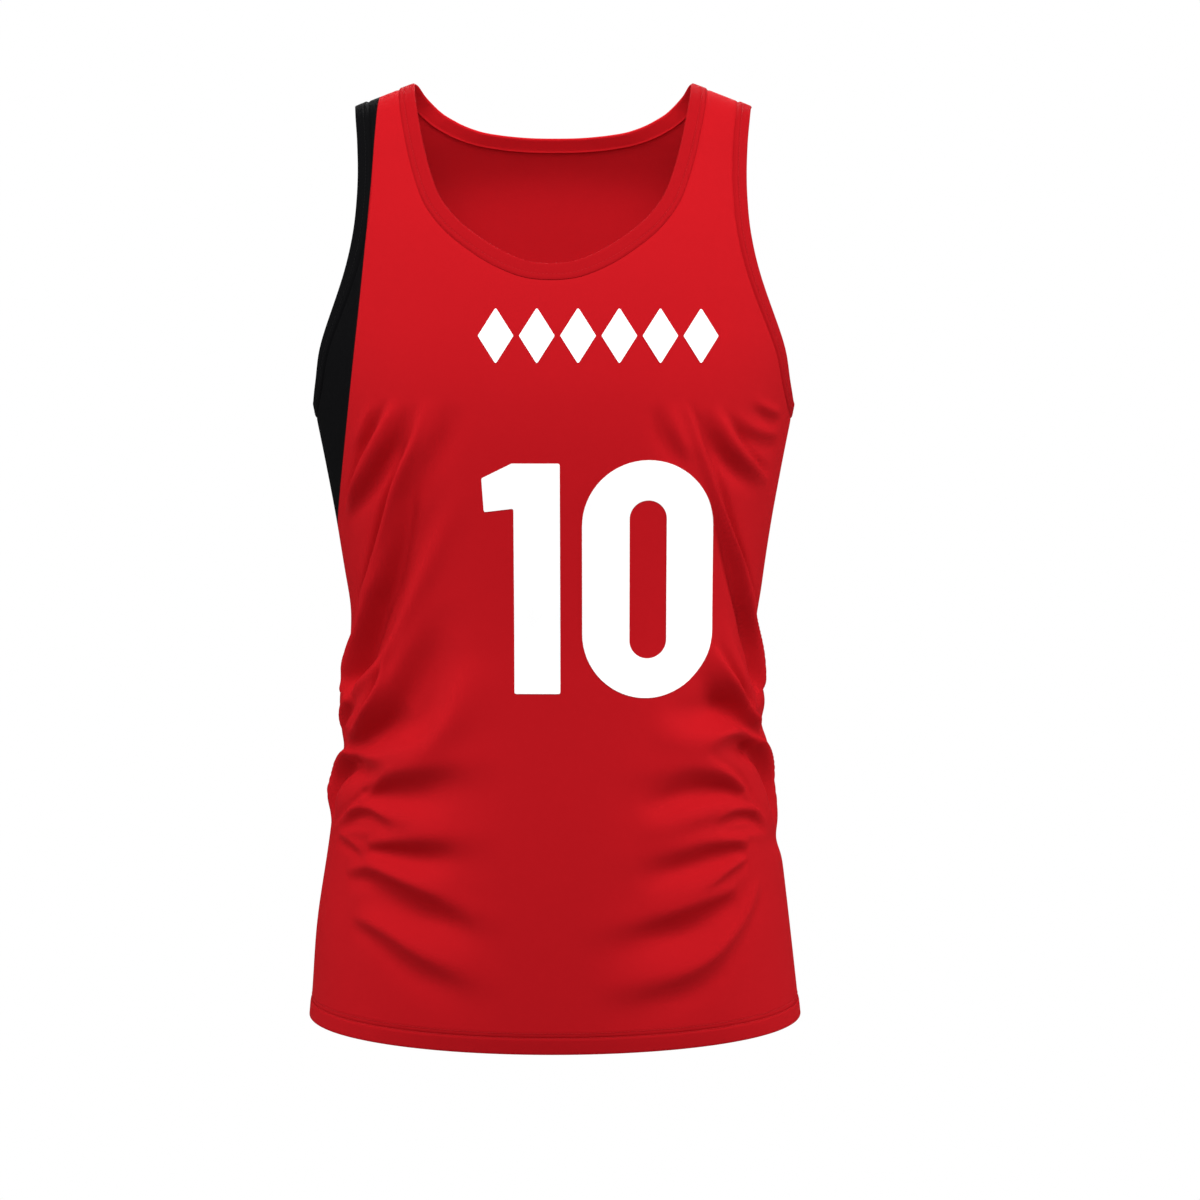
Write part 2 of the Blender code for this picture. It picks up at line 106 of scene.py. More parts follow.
# Rolls are the rounded swells and hollows that the outline shows at the sides.
Roll = namedtuple("Roll", "lift width places")
rolls = [Roll(*row) for row in (
    # wearer's right side
    (0.0028, 0.018, ((-56, 0.458), (-74, 0.476), (-90, 0.482), (-106, 0.480))),
    (-0.0026, 0.010, ((-66, 0.514), (-82, 0.520), (-94, 0.526), (-108, 0.530))),
    (0.0034, 0.014, ((-56, 0.548), (-74, 0.558), (-90, 0.560), (-106, 0.560))),
    (0.0026, 0.050, ((-58, 0.655), (-76, 0.662), (-94, 0.668), (-110, 0.670))),
    (-0.0016, 0.022, ((-62, 0.400), (-78, 0.405), (-94, 0.408), (-108, 0.408))),
    # wearer's left side
    (-0.0024, 0.026, ((108, 0.432), (94, 0.430), (78, 0.424), (62, 0.410))),
    (-0.0026, 0.016, ((106, 0.466), (92, 0.464), (80, 0.460), (68, 0.450))),
    (-0.0044, 0.012, ((108, 0.508), (92, 0.504), (80, 0.500), (68, 0.494))),
    (-0.0012, 0.010, ((106, 0.558), (92, 0.554), (78, 0.546), (64, 0.534))),
    (-0.0028, 0.011, ((108, 0.604), (94, 0.600), (80, 0.594), (64, 0.586))),
)]

# A crease runs from right to left as its own side of the cloth is looked at, through (turn, drop)
# places. Across it the cloth drops by the slope, from a swell above the line to a hollow below it,
# each with its own width. With a slope under zero the hollow is above. Away from the side seam the
# widths fan out. The peak is where it is strongest, from 0 at its end nearer the side to 1.
Crease = namedtuple("Crease", "slope above below fan peak places")
creases = [Crease(*row) for row in (
    # wearer's right: from the underarm down to the side
    (0.85, 0.0046, 0.0070, 0.0, 0.50, ((-44, 0.245), (-48, 0.258), (-51, 0.270), (-56, 0.284))),
    (1.80, 0.0068, 0.0072, 0.3, 0.58, (
        (-35, 0.243), (-40, 0.267), (-44.5, 0.284), (-51, 0.303), (-59, 0.321), (-68, 0.338))),
    (-2.20, 0.0040, 0.0050, 0.0, 0.55, (
        (-39, 0.243), (-44, 0.261), (-52, 0.286), (-60, 0.312), (-69, 0.334))),
    (0.75, 0.0085, 0.0100, 0.3, 0.50, (
        (-25, 0.243), (-27.3, 0.262), (-29.6, 0.277), (-32.7, 0.294), (-37.5, 0.320))),
    (2.60, 0.0088, 0.0092, -0.1, 0.32, (
        (-28, 0.240), (-33, 0.270), (-37.5, 0.303), (-42.5, 0.343), (-49, 0.376), (-55.5, 0.399),
        (-62, 0.422), (-68, 0.442), (-72, 0.460), (-74, 0.478))),
    (-2.90, 0.0044, 0.0056, 0.0, 0.55, (
        (-30, 0.242), (-34.3, 0.269), (-38.2, 0.288), (-43, 0.312), (-48.7, 0.341), (-57.7, 0.378),
        (-65, 0.398), (-72, 0.412))),
    (-1.25, 0.0080, 0.0075, 0.6, 0.35, (
        (-24, 0.300), (-28, 0.325), (-33.5, 0.352), (-39, 0.377), (-46, 0.407), (-53, 0.435),
        (-60, 0.452), (-68, 0.464), (-80, 0.476))),
    (1.50, 0.0090, 0.0125, 0.5, 0.28, (
        (-31, 0.388), (-35.5, 0.414), (-40.5, 0.438), (-46.5, 0.465), (-53.5, 0.486), (-62, 0.501),
        (-72, 0.513))),
    (-2.20, 0.0038, 0.0048, 0.0, 0.50, (
        (-48, 0.415), (-51, 0.437), (-53, 0.463), (-57.5, 0.481), (-64, 0.498), (-73, 0.513))),
    (2.00, 0.0045, 0.0058, 0.0, 0.50, ((-66, 0.472), (-71, 0.483), (-76, 0.495), (-80, 0.510))),
    (-0.95, 0.0150, 0.0150, 0.3, 0.45, (
        (-22, 0.430), (-27, 0.455), (-31, 0.480), (-37, 0.499), (-48, 0.508), (-65, 0.517))),
    # across the wearer's right side, down to the hem
    (2.60, 0.0044, 0.0096, 0.2, 0.50, (
        (-46, 0.522), (-57, 0.523), (-69, 0.524), (-77, 0.530), (-83, 0.545), (-86, 0.566),
        (-87, 0.586))),
    (-1.10, 0.0036, 0.0042, 0.0, 0.50, (
        (-47, 0.528), (-53, 0.541), (-59, 0.555), (-69, 0.572), (-80, 0.587))),
    (1.15, 0.0046, 0.0060, 3.0, 0.22, (
        (-10, 0.523), (-21, 0.526), (-28, 0.527), (-36, 0.531), (-44, 0.535), (-51, 0.541),
        (-58, 0.549))),
    (-0.65, 0.0090, 0.0100, 0.6, 0.50, ((-24, 0.560), (-34, 0.559), (-44, 0.557), (-56, 0.556))),
    (1.50, 0.0036, 0.0048, 0.4, 0.50, (
        (-42, 0.569), (-48, 0.565), (-54, 0.562), (-61, 0.566), (-67, 0.575))),
    (-0.55, 0.0045, 0.0045, 0.0, 0.50, ((-45, 0.576), (-56, 0.577), (-64, 0.580), (-72, 0.584))),
    (0.95, 0.0040, 0.0055, 0.0, 0.50, ((-54, 0.598), (-61, 0.591), (-71, 0.588))),
    (0.95, 0.0044, 0.0058, 2.6, 0.22, (
        (-12, 0.584), (-21, 0.583), (-28, 0.583), (-36, 0.584), (-44, 0.586), (-53, 0.590))),
    (-0.60, 0.0080, 0.0090, 0.8, 0.50, ((-22, 0.602), (-32, 0.604), (-42, 0.601), (-54, 0.594))),
    (1.08, 0.0048, 0.0074, 1.9, 0.36, (
        (-10, 0.652), (-17, 0.644), (-24, 0.634), (-31, 0.624), (-39, 0.615), (-48, 0.609),
        (-54, 0.610), (-62, 0.616))),
    (-0.55, 0.0120, 0.0120, 0.9, 0.50, (
        (-15, 0.664), (-24, 0.657), (-34, 0.650), (-46, 0.640), (-56, 0.634))),
    (0.82, 0.0050, 0.0084, 1.6, 0.40, (
        (-10, 0.700), (-19, 0.689), (-25, 0.681), (-31, 0.673), (-37, 0.664), (-43, 0.656),
        (-50, 0.651), (-58, 0.650))),
    # wearer's left: from the side up to the underarm
    (1.00, 0.0044, 0.0066, 0.0, 0.50, ((70, 0.256), (64, 0.254), (58, 0.250), (52, 0.244))),
    (0.95, 0.0044, 0.0085, 0.0, 0.50, (
        (72, 0.275), (66, 0.272), (58, 0.269), (52, 0.263), (46, 0.252))),
    (-2.10, 0.0038, 0.0046, 0.0, 0.50, (
        (70, 0.304), (62, 0.296), (54, 0.282), (48, 0.267), (42, 0.250))),
    (1.50, 0.0065, 0.0080, 0.2, 0.55, (
        (65, 0.312), (56, 0.299), (50.5, 0.290), (46, 0.279), (41.8, 0.265), (38, 0.248))),
    (0.85, 0.0070, 0.0075, 0.2, 0.50, ((34, 0.291), (30.6, 0.277), (27.7, 0.262), (26, 0.245))),
    (-2.70, 0.0044, 0.0050, -0.15, 0.48, (
        (82, 0.422), (75, 0.407), (67, 0.390), (60, 0.370), (54, 0.350), (47, 0.320), (41, 0.289),
        (35, 0.259), (31.5, 0.242))),
    (2.60, 0.0082, 0.0080, -0.55, 0.33, (
        (81, 0.476), (79, 0.459), (75, 0.437), (69, 0.418), (62, 0.397), (56.5, 0.376), (51.3, 0.351),
        (47, 0.328), (43, 0.304), (39.5, 0.283))),
    (-0.80, 0.0085, 0.0080, 0.5, 0.35, (
        (72, 0.488), (68, 0.466), (64, 0.445), (59, 0.425), (54, 0.400))),
    (-2.30, 0.0040, 0.0048, 0.0, 0.50, (
        (76, 0.503), (67, 0.487), (60, 0.468), (54, 0.446), (49, 0.428))),
    (1.50, 0.0065, 0.0130, 0.5, 0.30, (
        (74, 0.507), (65, 0.491), (58, 0.476), (52.5, 0.462), (47.5, 0.446), (43, 0.422))),
    (-1.00, 0.0150, 0.0150, 0.3, 0.45, (
        (68, 0.499), (57, 0.491), (46, 0.494), (36, 0.491), (26, 0.478))),
    # across the wearer's left side, down to the hem
    (2.60, 0.0042, 0.0094, 0.2, 0.55, (
        (86, 0.592), (86, 0.574), (84, 0.556), (82, 0.541), (78, 0.527), (72, 0.516), (64, 0.508),
        (56, 0.503), (49, 0.503), (41, 0.508))),
    (-1.00, 0.0036, 0.0042, 0.0, 0.50, (
        (72, 0.586), (64, 0.564), (59, 0.545), (54, 0.533), (48, 0.524), (42, 0.513))),
    (1.10, 0.0046, 0.0060, 3.0, 0.22, (
        (57, 0.549), (53, 0.542), (49, 0.537), (44, 0.533), (38, 0.531), (31, 0.533), (24, 0.534),
        (13, 0.532))),
    (-0.70, 0.0090, 0.0100, 0.6, 0.50, (
        (56, 0.550), (46, 0.551), (36, 0.554), (28, 0.559), (20, 0.557))),
    (1.60, 0.0036, 0.0048, 0.4, 0.50, (
        (71, 0.583), (64, 0.570), (57, 0.564), (50, 0.564), (44, 0.571))),
    (-0.55, 0.0045, 0.0045, 0.0, 0.50, ((72, 0.587), (61, 0.581), (51, 0.580), (44, 0.577))),
    (1.00, 0.0044, 0.0060, 2.3, 0.22, (
        (57, 0.592), (52, 0.588), (47, 0.587), (41, 0.587), (35, 0.590), (28, 0.594), (22, 0.598),
        (12, 0.604))),
    (-0.70, 0.0075, 0.0080, 1.2, 0.45, (
        (55, 0.596), (45, 0.604), (35, 0.610), (28, 0.615), (20, 0.620))),
    (0.95, 0.0036, 0.0052, 0.6, 0.45, ((57, 0.601), (51, 0.605), (45, 0.611), (39, 0.621))),
    (0.85, 0.0050, 0.0084, 1.8, 0.34, (
        (51, 0.624), (44, 0.628), (37, 0.633), (30, 0.639), (23, 0.644), (15, 0.650), (5, 0.656))),
    (-0.65, 0.0120, 0.0120, 0.9, 0.50, (
        (60, 0.615), (52, 0.640), (44, 0.654), (34, 0.664), (24, 0.669), (10, 0.673))),
    (0.75, 0.0052, 0.0084, 1.6, 0.40, (
        (62, 0.620), (55, 0.641), (47, 0.659), (39, 0.676), (32, 0.686), (25, 0.692), (16, 0.697),
        (8, 0.701))),
)]


def smoothCurve(places, values, at):
    # one smooth curve through unevenly spaced values
    slopes = np.gradient(values, places)
    at = np.clip(at, places[0], places[-1])
    index = np.clip(np.searchsorted(places, at, side="right") - 1, 0, len(places) - 2)
    span = places[index + 1] - places[index]
    part = (at - places[index]) / span
    low, high = values[index], values[index + 1]
    lowSlope, highSlope = slopes[index] * span, slopes[index + 1] * span
    rise = 3 * part**2 - 2 * part**3
    return low + (high - low) * rise + part * (1 - part) * ((1 - part) * lowSlope - part * highSlope)


def unit(vectors):
    return vectors / np.linalg.norm(vectors, axis=-1, keepdims=True)


def runAlong(points):
    # the length travelled along a line at each of its points
    return np.concatenate([[0], np.cumsum(np.linalg.norm(np.diff(points, axis=0), axis=1))])


sectionAt = {name: np.array([getattr(row, name) for row in sections]) for name in Section._fields}


def shoulderHeight(across):
    atNeck = math.hypot(form["neckHalfWidth"], form["shoulderRound"])
    return form["shoulderSlope"] * (atNeck - np.hypot(across, form["shoulderRound"]))


def bodyPoint(turn, dropRoot):
    turn = np.where(dropRoot < 0, 180.0 - turn, turn)  # past the shoulder it goes on down the back
    drop = dropRoot**2
    angle = np.radians(turn)
    halfWidth = smoothCurve(sectionAt["drop"], sectionAt["halfWidth"], drop)
    squareness = smoothCurve(sectionAt["drop"], sectionAt["squareness"], drop)
    front = smoothCurve(sectionAt["drop"], sectionAt["frontDepth"] ** 2, drop)
    back = smoothCurve(sectionAt["drop"], sectionAt["backDepth"] ** 2, drop)
    facing = np.sign(np.cos(angle))
    share = np.abs(np.sin(angle)) ** squareness
    across = halfWidth * np.sin(angle)
    forward = facing * np.sqrt(np.maximum(np.where(facing > 0, front, back) * (1 - share), 0.0))
    height = shoulderHeight(across) * np.exp(-drop / form["slopeFade"]) - drop
    return np.stack([across, -forward, height], axis=-1)


def bodyDirections(turn, dropRoot):
    turnStep, rootStep = 0.2, 0.0008
    alongTurn = bodyPoint(turn + turnStep, dropRoot) - bodyPoint(turn - turnStep, dropRoot)
    alongRoot = bodyPoint(turn, dropRoot + rootStep) - bodyPoint(turn, dropRoot - rootStep)
    normal = unit(np.cross(alongRoot, alongTurn))
    return alongTurn / (2 * turnStep), alongRoot / (2 * rootStep), normal


# How the creases' fellows on the back differ from them, in turn, and how a fold fades.
foldShape = {
    "shift": 0.011,
    "shiftBeat": 2.3,
    "strength": (0.72, 0.22),
    "strengthBeat": 1.7,
    "pulledIn": 0.12,
    "stepsEach": 7,  # close points for each place that a fold runs through
    "reach": 2.6,  # in widths
    "rollFade": (3.2, 1.3),
    "creaseFade": (1.8, 3.0, 1.4),  # past the peak, before it, and at both ends
}


def aroundTheSide(crease, index):
    # the crease's fellow on the back, as if in a mirror at the side seam, but uneven
    shift = foldShape["shift"] * math.sin(foldShape["shiftBeat"] * index)
    level, change = foldShape["strength"]
    share = level + change * math.sin(foldShape["strengthBeat"] * index)
    places = []
    for turn, drop in reversed(crease.places):
        past = max(0.0, 90.0 - abs(turn)) / 90.0
        back = 180.0 - abs(turn) * (1 - foldShape["pulledIn"] * past)
        places.append((math.copysign(back, turn), drop + shift * past * 2))
    return crease._replace(slope=crease.slope * share, places=tuple(places))


def guideLine(fold):
    # close points along a fold's smooth line, and the direction of its lower side at each step
    count = len(fold.places)
    at = np.linspace(0, count - 1, foldShape["stepsEach"] * count)
    turns, drops = np.array(fold.places, dtype=float).T
    turn = smoothCurve(np.arange(count), turns, at)
    root = np.sqrt(smoothCurve(np.arange(count), drops, at))
    line = bodyPoint(turn, root)
    lower = unit(np.cross(bodyDirections(turn, root)[2][:-1], np.diff(line, axis=0)))
    return fold, line, lower


def alongLine(points, line, lower):
    # each point's distance from the line, less than zero above it, and its place along it
    nearest = np.full(len(points), np.inf)
    place, side = np.zeros(len(points)), np.ones(len(points))
    for step in range(len(line) - 1):
        run = line[step + 1] - line[step]
        offset = points - line[step]
        part = np.clip(offset @ run / (run @ run), 0, 1)
        offset -= part[:, None] * run
        away = np.linalg.norm(offset, axis=1)
        closer = away < nearest
        place = np.where(closer, (step + part) / (len(line) - 1), place)
        side = np.where(closer, np.sign(offset @ lower[step]), side)
        nearest = np.minimum(nearest, away)
    return nearest * side, place


def foldLift(points, lines):
    # how far the folds lift the cloth at each point of the body
    total = np.zeros(len(points))
    rollPower, rollEnd = foldShape["rollFade"]
    pastPower, beforePower, creaseEnd = foldShape["creaseFade"]
    for fold, line, lower in lines:
        isRoll = isinstance(fold, Roll)
        widest = fold.width if isRoll else max(fold.above, fold.below) * max(1, 1 + fold.fan)
        reach = foldShape["reach"] * widest
        near = (points > line.min(0) - reach) & (points < line.max(0) + reach)
        chosen = np.flatnonzero(near.all(axis=1))
        across, place = alongLine(points[chosen], line, lower)
        if isRoll:
            fade = (1 - np.abs(2 * place - 1) ** rollPower) ** rollEnd
            total[chosen] += fold.lift * fade * np.exp(-((across / fold.width) ** 2))
        else:
            startsAtSide = abs(abs(fold.places[0][0]) - 90) < abs(abs(fold.places[-1][0]) - 90)
            fromSide = place if startsAtSide else 1 - place
            fan = 1 + fold.fan * fromSide
            away = 2 * fromSide ** (math.log(0.5) / math.log(fold.peak)) - 1
            fade = (1 - np.abs(away) ** np.where(away > 0, pastPower, beforePower)) ** creaseEnd
            width = np.where(across < 0, fold.above, fold.below) * fan
            total[chosen] -= fold.slope * fade * across * np.exp(-((across / width) ** 2))
    return total


fellows = [aroundTheSide(crease, index) for index, crease in enumerate(creases)]
guideLines = [guideLine(fold) for fold in (*rolls, *creases, *fellows)]


def clothMiddle(turn, dropRoot):
    points = bodyPoint(turn, dropRoot)
    normals = bodyDirections(turn, dropRoot)[2]
    return points + normals * foldLift(points, guideLines)[:, None], normals


def bump(distance, width):
    return np.exp(-((distance / width) ** 2))


# How finely the panels are divided, and how their edges and hem are finished.
panels = {
    "wall": 0.0010,
    "lowerRows": ((0.620, 30), (0.450, 82), (0.259, 56)),  # rows up to each drop, from the hem
    "underarmRows": 40,
    "strapRows": 34,
    "centreShare": 0.31,  # the smooth middle, with wide columns
    "front": {"centreColumns": 9, "sideColumns": 60, "strapColumns": 25, "strapFoot": 0.078},
    "back": {"centreColumns": 9, "sideColumns": 54, "strapColumns": 16, "strapFoot": 0.030},
    "strapSteps": ((0.0, 0.012, 0.028), (0.05, 0.028, 0.012)),  # from the neck seam, to the armhole's
    "underarmSteps": (0.012, 0.006, 0.0025),
    "closePoints": 900,  # along a seam, before it is divided evenly
    "seamPoints": 6,  # for each column along a seam, for the dip beside it
    "sidePoints": 1400,
    "shoulderPoints": 120,
    "meanRadius": 0.155,  # turns become lengths with it, for the knit
    "seamLap": 0.00004,
    "seamDip": 0.00048,
    "seamDipWidth": 0.0012,
    "scoopSoftness": 0.65,
    "scoopTurn": 19.0,
    "sideDip": 0.00035,
    "sideDipWidth": 0.0010,
    "innerDip": 0.5,
    "hemWall": 0.0021,
    "hemDepth": 0.0140,
    "hemRound": (0.00008, 0.0012),  # how blunt the hem's foot is, and the height of its rounding
    "hemStart": 0.001,
    "hemProud": 0.00022,
    "hemStep": (0.0006, 0.0003),  # where the doubled cloth ends below the seam, and how softly
    "hemRowGap": 0.0038,
    "hemGroove": 0.00040,
    "hemGrooveWidth": 0.0007,
    "upperGroove": 0.4,
    "upperGrooveWidth": 0.0006,
    "hemTurnIn": 0.22,
    "hemTurnRise": 0.004,  # the turn-in begins this far above the hem
    "hemRows": (0.0, 0.0002, 0.0006, 0.0013, 0.003, 0.006, 0.009, 0.0115, 0.0130, 0.0136, 0.0140,
                0.0144, 0.0150, 0.0160, 0.0170, 0.0175, 0.0178, 0.0182, 0.0188, 0.0200),
}


def seamStrength(turn):
    # the neck seam is pressed flatter at the scoop's lowest part
    return 1 - panels["scoopSoftness"] * np.exp(-((turn / panels["scoopTurn"]) ** 4))


def seamPlaces(seam, steps, centred):
    rows = list(seam)
    if centred:
        rows.insert(0, SeamPoint(-rows[1].turn, rows[1].drop))
    turns = np.array([row.turn for row in rows])
    roots = np.sqrt([row.drop for row in rows])
    travelled = runAlong(bodyPoint(turns, roots))
    fine = np.linspace(travelled[1] if centred else 0.0, travelled[-1], panels["closePoints"])
    turn, root = smoothCurve(travelled, turns, fine), smoothCurve(travelled, roots, fine)
    fineTravelled = runAlong(bodyPoint(turn, root))
    even = np.linspace(0, fineTravelled[-1], steps + 1)
    return np.interp(even, fineTravelled, turn), np.interp(even, fineTravelled, root)


def armholePlaces(seam):
    turn, root = seamPlaces(seam, panels["underarmRows"] + panels["strapRows"], False)
    return turn[::-1], root[::-1]


def neckPlaces(seam, side):
    # wide columns at the centre, narrow ones to the strap's foot, then the strap's rows
    count = panels["closePoints"]
    turn, root = seamPlaces(seam, count, True)
    index = np.arange(count + 1)
    foot = int(np.argmin(np.abs(root**2 - side["strapFoot"])))
    middle = panels["centreShare"]
    shares = np.concatenate([np.linspace(0, middle, side["centreColumns"] + 1)[:-1],
                             np.linspace(middle, 1, side["sideColumns"] + 1)])
    scoop = np.interp(shares * turn[foot], turn[: foot + 1], index[: foot + 1])
    strap = np.linspace(foot, count, panels["strapRows"] + 1)[1:]
    steps = np.concatenate([scoop, strap])
    return np.interp(steps, index, turn), np.interp(steps, index, root)


def closeTo(edge, share):
    # steps from 0 to 1 that crowd together near 1, as the cloth turns down into a seam there
    return np.concatenate([edge[edge < 1 - share[0] * 1.3], 1 - np.array(share), [1.0]])


def panelPlaces(side, neck, armhole):
    # the turns and roots of half a panel: the body, hem first, and then the strap
    neckTurn, neckRoot = neck
    armTurn, armRoot = armhole
    armDrop, neckDrop = armRoot**2, neckRoot**2
    rows, foot = panels["underarmRows"], side["centreColumns"] + side["sideColumns"]
    footTurn = armTurn[rows]
    inner = neckTurn[foot] / footTurn
    first, last = panels["strapSteps"]
    strapShare = closeTo(np.linspace(0, 1, side["strapColumns"] + 1), last)
    strapShare = np.concatenate([first, strapShare[strapShare > first[-1]]])
    share = np.concatenate([neckTurn[:foot] / footTurn, inner + (1 - inner) * strapShare])
    footDrops = neckDrop[foot] * (1 - strapShare) + armDrop[rows] * strapShare
    topDrop = np.concatenate([neckDrop[:foot], footDrops])

    underarm = armDrop[0]
    lower = form["length"] - np.array(panels["hemRows"])
    for drop, count in panels["lowerRows"]:
        lower = np.concatenate([lower, np.linspace(lower[-1], drop, count + 1)[1:]])
    turns = [90.0 * share for _ in lower]
    drops = [np.full_like(share, drop) for drop in lower]
    rises = closeTo(np.arange(1, rows + 1) / rows, panels["underarmSteps"])
    edgeRise = (underarm - armDrop[: rows + 1]) / (underarm - armDrop[rows])
    for rise in rises:
        edge = np.interp(rise * rows, np.arange(rows + 1), edgeRise)
        turn = np.interp(rise * rows, np.arange(rows + 1), armTurn[: rows + 1])
        turns.append(share * turn)
        drops.append(underarm + (topDrop - underarm) * (rise + (edge - rise) * share**3))
    body = np.array(turns), np.sqrt(np.array(drops))
    strapTurn = neckTurn[foot:, None] * (1 - strapShare) + armTurn[rows:, None] * strapShare
    strapRoot = neckRoot[foot:, None] * (1 - strapShare) + armRoot[rows:, None] * strapShare
    return body, (strapTurn, strapRoot), len(strapShare)


def panelGrid(side, neck, armhole):
    # the whole panel from its half: turns, roots and four-sided faces
    body, strap, across = panelPlaces(side, neck, armhole)
    half = body[0].shape[1] - 1
    width = 2 * half + 1
    bodyTurn = np.concatenate([-body[0][:, :0:-1], body[0]], axis=1)
    bodyRoot = np.concatenate([body[1][:, :0:-1], body[1]], axis=1)
    rows = len(bodyTurn)
    turn, root, quads = [bodyTurn.ravel()], [bodyRoot.ravel()], []
    for row in range(rows - 1):
        for col in range(width - 1):
            low, high = row * width + col, (row + 1) * width + col
            quads.append([low, low + 1, high + 1, high])
    for hand in (1, -1):
        first = sum(len(block) for block in turn)
        turn.append(hand * strap[0][1:].ravel())
        root.append(strap[1][1:].ravel())
        footStart = (rows - 1) * width + half
        levels = [[footStart + hand * (half - across + 1 + c) for c in range(across)]]
        levels += [[first + r * across + c for c in range(across)] for r in range(panels["strapRows"])]
        for low, high in zip(levels[:-1], levels[1:]):
            for c in range(across - 1):
                quad = [low[c + 1], high[c + 1], high[c], low[c]]
                quads.append(quad if hand > 0 else quad[::-1])
    return np.concatenate(turn), np.concatenate(root), quads


def distanceTo(points, lines):
    # how far each point is from the nearest of the lines, each given by close points
    linePoints = np.concatenate(lines)
    tree = KDTree(len(linePoints))
    for index, point in enumerate(linePoints):
        tree.insert(point, index)
    tree.balance()
    return np.array([tree.find(point)[2] for point in points])


def addObject(name, data):
    item = bpy.data.objects.new(name, data)
    bpy.context.scene.collection.objects.link(item)
    return item


def makeMesh(name, points, faces, attributes):
    mesh = bpy.data.meshes.new(name)
    mesh.from_pydata(points.tolist(), [], [tuple(face) for face in faces])
    mesh.validate()
    mesh.shade_smooth()
    for key, values in attributes.items():
        kind = "FLOAT_VECTOR" if np.ndim(values) == 2 else "FLOAT"
        attribute = mesh.attributes.new(key, kind, "POINT")
        attribute.data.foreach_set("vector" if kind == "FLOAT_VECTOR" else "value", np.ravel(values))
    return addObject(name, mesh)


def makeShell(name, outer, inner, quads, place):
    # a closed wall between an outer and an inner skin
    count = len(outer)
    edges = {(a, b) for quad in quads for a, b in zip(quad, quad[1:] + quad[:1])}
    faces = list(quads) + [[corner + count for corner in reversed(quad)] for quad in quads]
    faces += [(b, a, a + count, b + count) for a, b in sorted(edges) if (b, a) not in edges]
    skin = np.repeat([1.0, 0.0], count)
    place = np.concatenate([np.tile(place, (2, 1)), skin[:, None]], axis=1)
    return makeMesh(name, np.concatenate([outer, inner]), faces, {"clothPlace": place})


def facingOut(faces, points, sample, outward):
    # the faces, all turned over if the sample one looks inwards
    first = points[faces[sample]]
    looks = np.cross(first[1] - first[0], first[2] - first[1]) @ outward
    return [face[::-1] for face in faces] if looks < 0 else faces


def hemProfile(height):
    # how far the turned-up hem stands proud, with the groove of each row of stitches
    depth, gap, groove = panels["hemDepth"], panels["hemRowGap"], panels["hemGroove"]
    below, softness = panels["hemStep"]
    proud = panels["hemProud"] / (1 + np.exp((height - depth + below) / softness))
    lower = groove * bump(height - depth, panels["hemGrooveWidth"])
    upper = panels["upperGroove"] * groove * bump(height - depth - gap, panels["upperGrooveWidth"])
    return proud - lower - upper


def hemHalfWall(height):
    # double cloth in the hem, rounded at its foot
    blunt, rounding = panels["hemRound"]
    half = np.where(height < panels["hemDepth"], panels["hemWall"], panels["wall"]) / 2
    return half * np.sqrt(np.clip((height + blunt) / rounding, 0, 1) * (2 - np.clip(height / rounding, 0, 1)))


def hemTurn(turn, height):
    # how far the foot of the cloth is turned in, most at the front and back
    foot = np.maximum(panels["hemDepth"] + panels["hemTurnRise"] - height, 0)
    return panels["hemTurnIn"] * foot * np.cos(np.radians(turn)) ** 2


def panelSeams(flip, neck, armhole):
    # close points along a panel's neck and armhole seams, and along its side and shoulder seams
    seams, sides = [], []
    for hand in (1, -1):
        for seamTurn, seamRoot in (neck, armhole):
            fine = np.linspace(0, len(seamTurn) - 1, panels["seamPoints"] * len(seamTurn))
            index = np.arange(len(seamTurn))
            fineTurn = flip(hand * np.interp(fine, index, seamTurn))
            seams.append(bodyPoint(fineTurn, np.interp(fine, index, seamRoot)))
        down = np.linspace(armhole[1][0], math.sqrt(form["length"]), panels["sidePoints"])
        sides.append(bodyPoint(np.full_like(down, flip(hand * 90.0)), down))
        top = np.linspace(neck[0][-1], armhole[0][-1], panels["shoulderPoints"])
        sides.append(bodyPoint(flip(hand * top), np.zeros_like(top)))
    return seams, sides


def makePanel(name, isFront, neck, armhole):
    turn, root, quads = panelGrid(panels["front" if isFront else "back"], neck, armhole)
    flip = (lambda places: places) if isFront else (lambda places: 180.0 - places)
    turn = flip(turn)
    if not isFront:
        quads = [quad[::-1] for quad in quads]
    middle, normals = clothMiddle(turn, root)
    seams, sides = panelSeams(flip, neck, armhole)
    flat = bodyPoint(turn, root)
    dip = panels["seamDip"] * bump(distanceTo(flat, seams), panels["seamDipWidth"]) * seamStrength(turn)
    dip += panels["sideDip"] * bump(distanceTo(flat, sides), panels["sideDipWidth"])
    height = form["length"] - root**2
    half = hemHalfWall(height)
    outward = half + hemProfile(height) * np.clip(height / panels["hemStart"], 0, 1) - dip
    inward = half + panels["innerDip"] * dip
    middle -= normals * hemTurn(turn, height)[:, None]
    middle[:, 1] += panels["seamLap"] / 2 * (1 if isFront else -1)
    outer = middle + normals * outward[:, None]
    inner = middle - normals * inward[:, None]
    place = np.stack([np.radians(turn) * panels["meanRadius"], root**2], axis=1)
    print(name, "has", len(quads), "cells a side")
    return makeShell(name, outer, inner, quads, place)


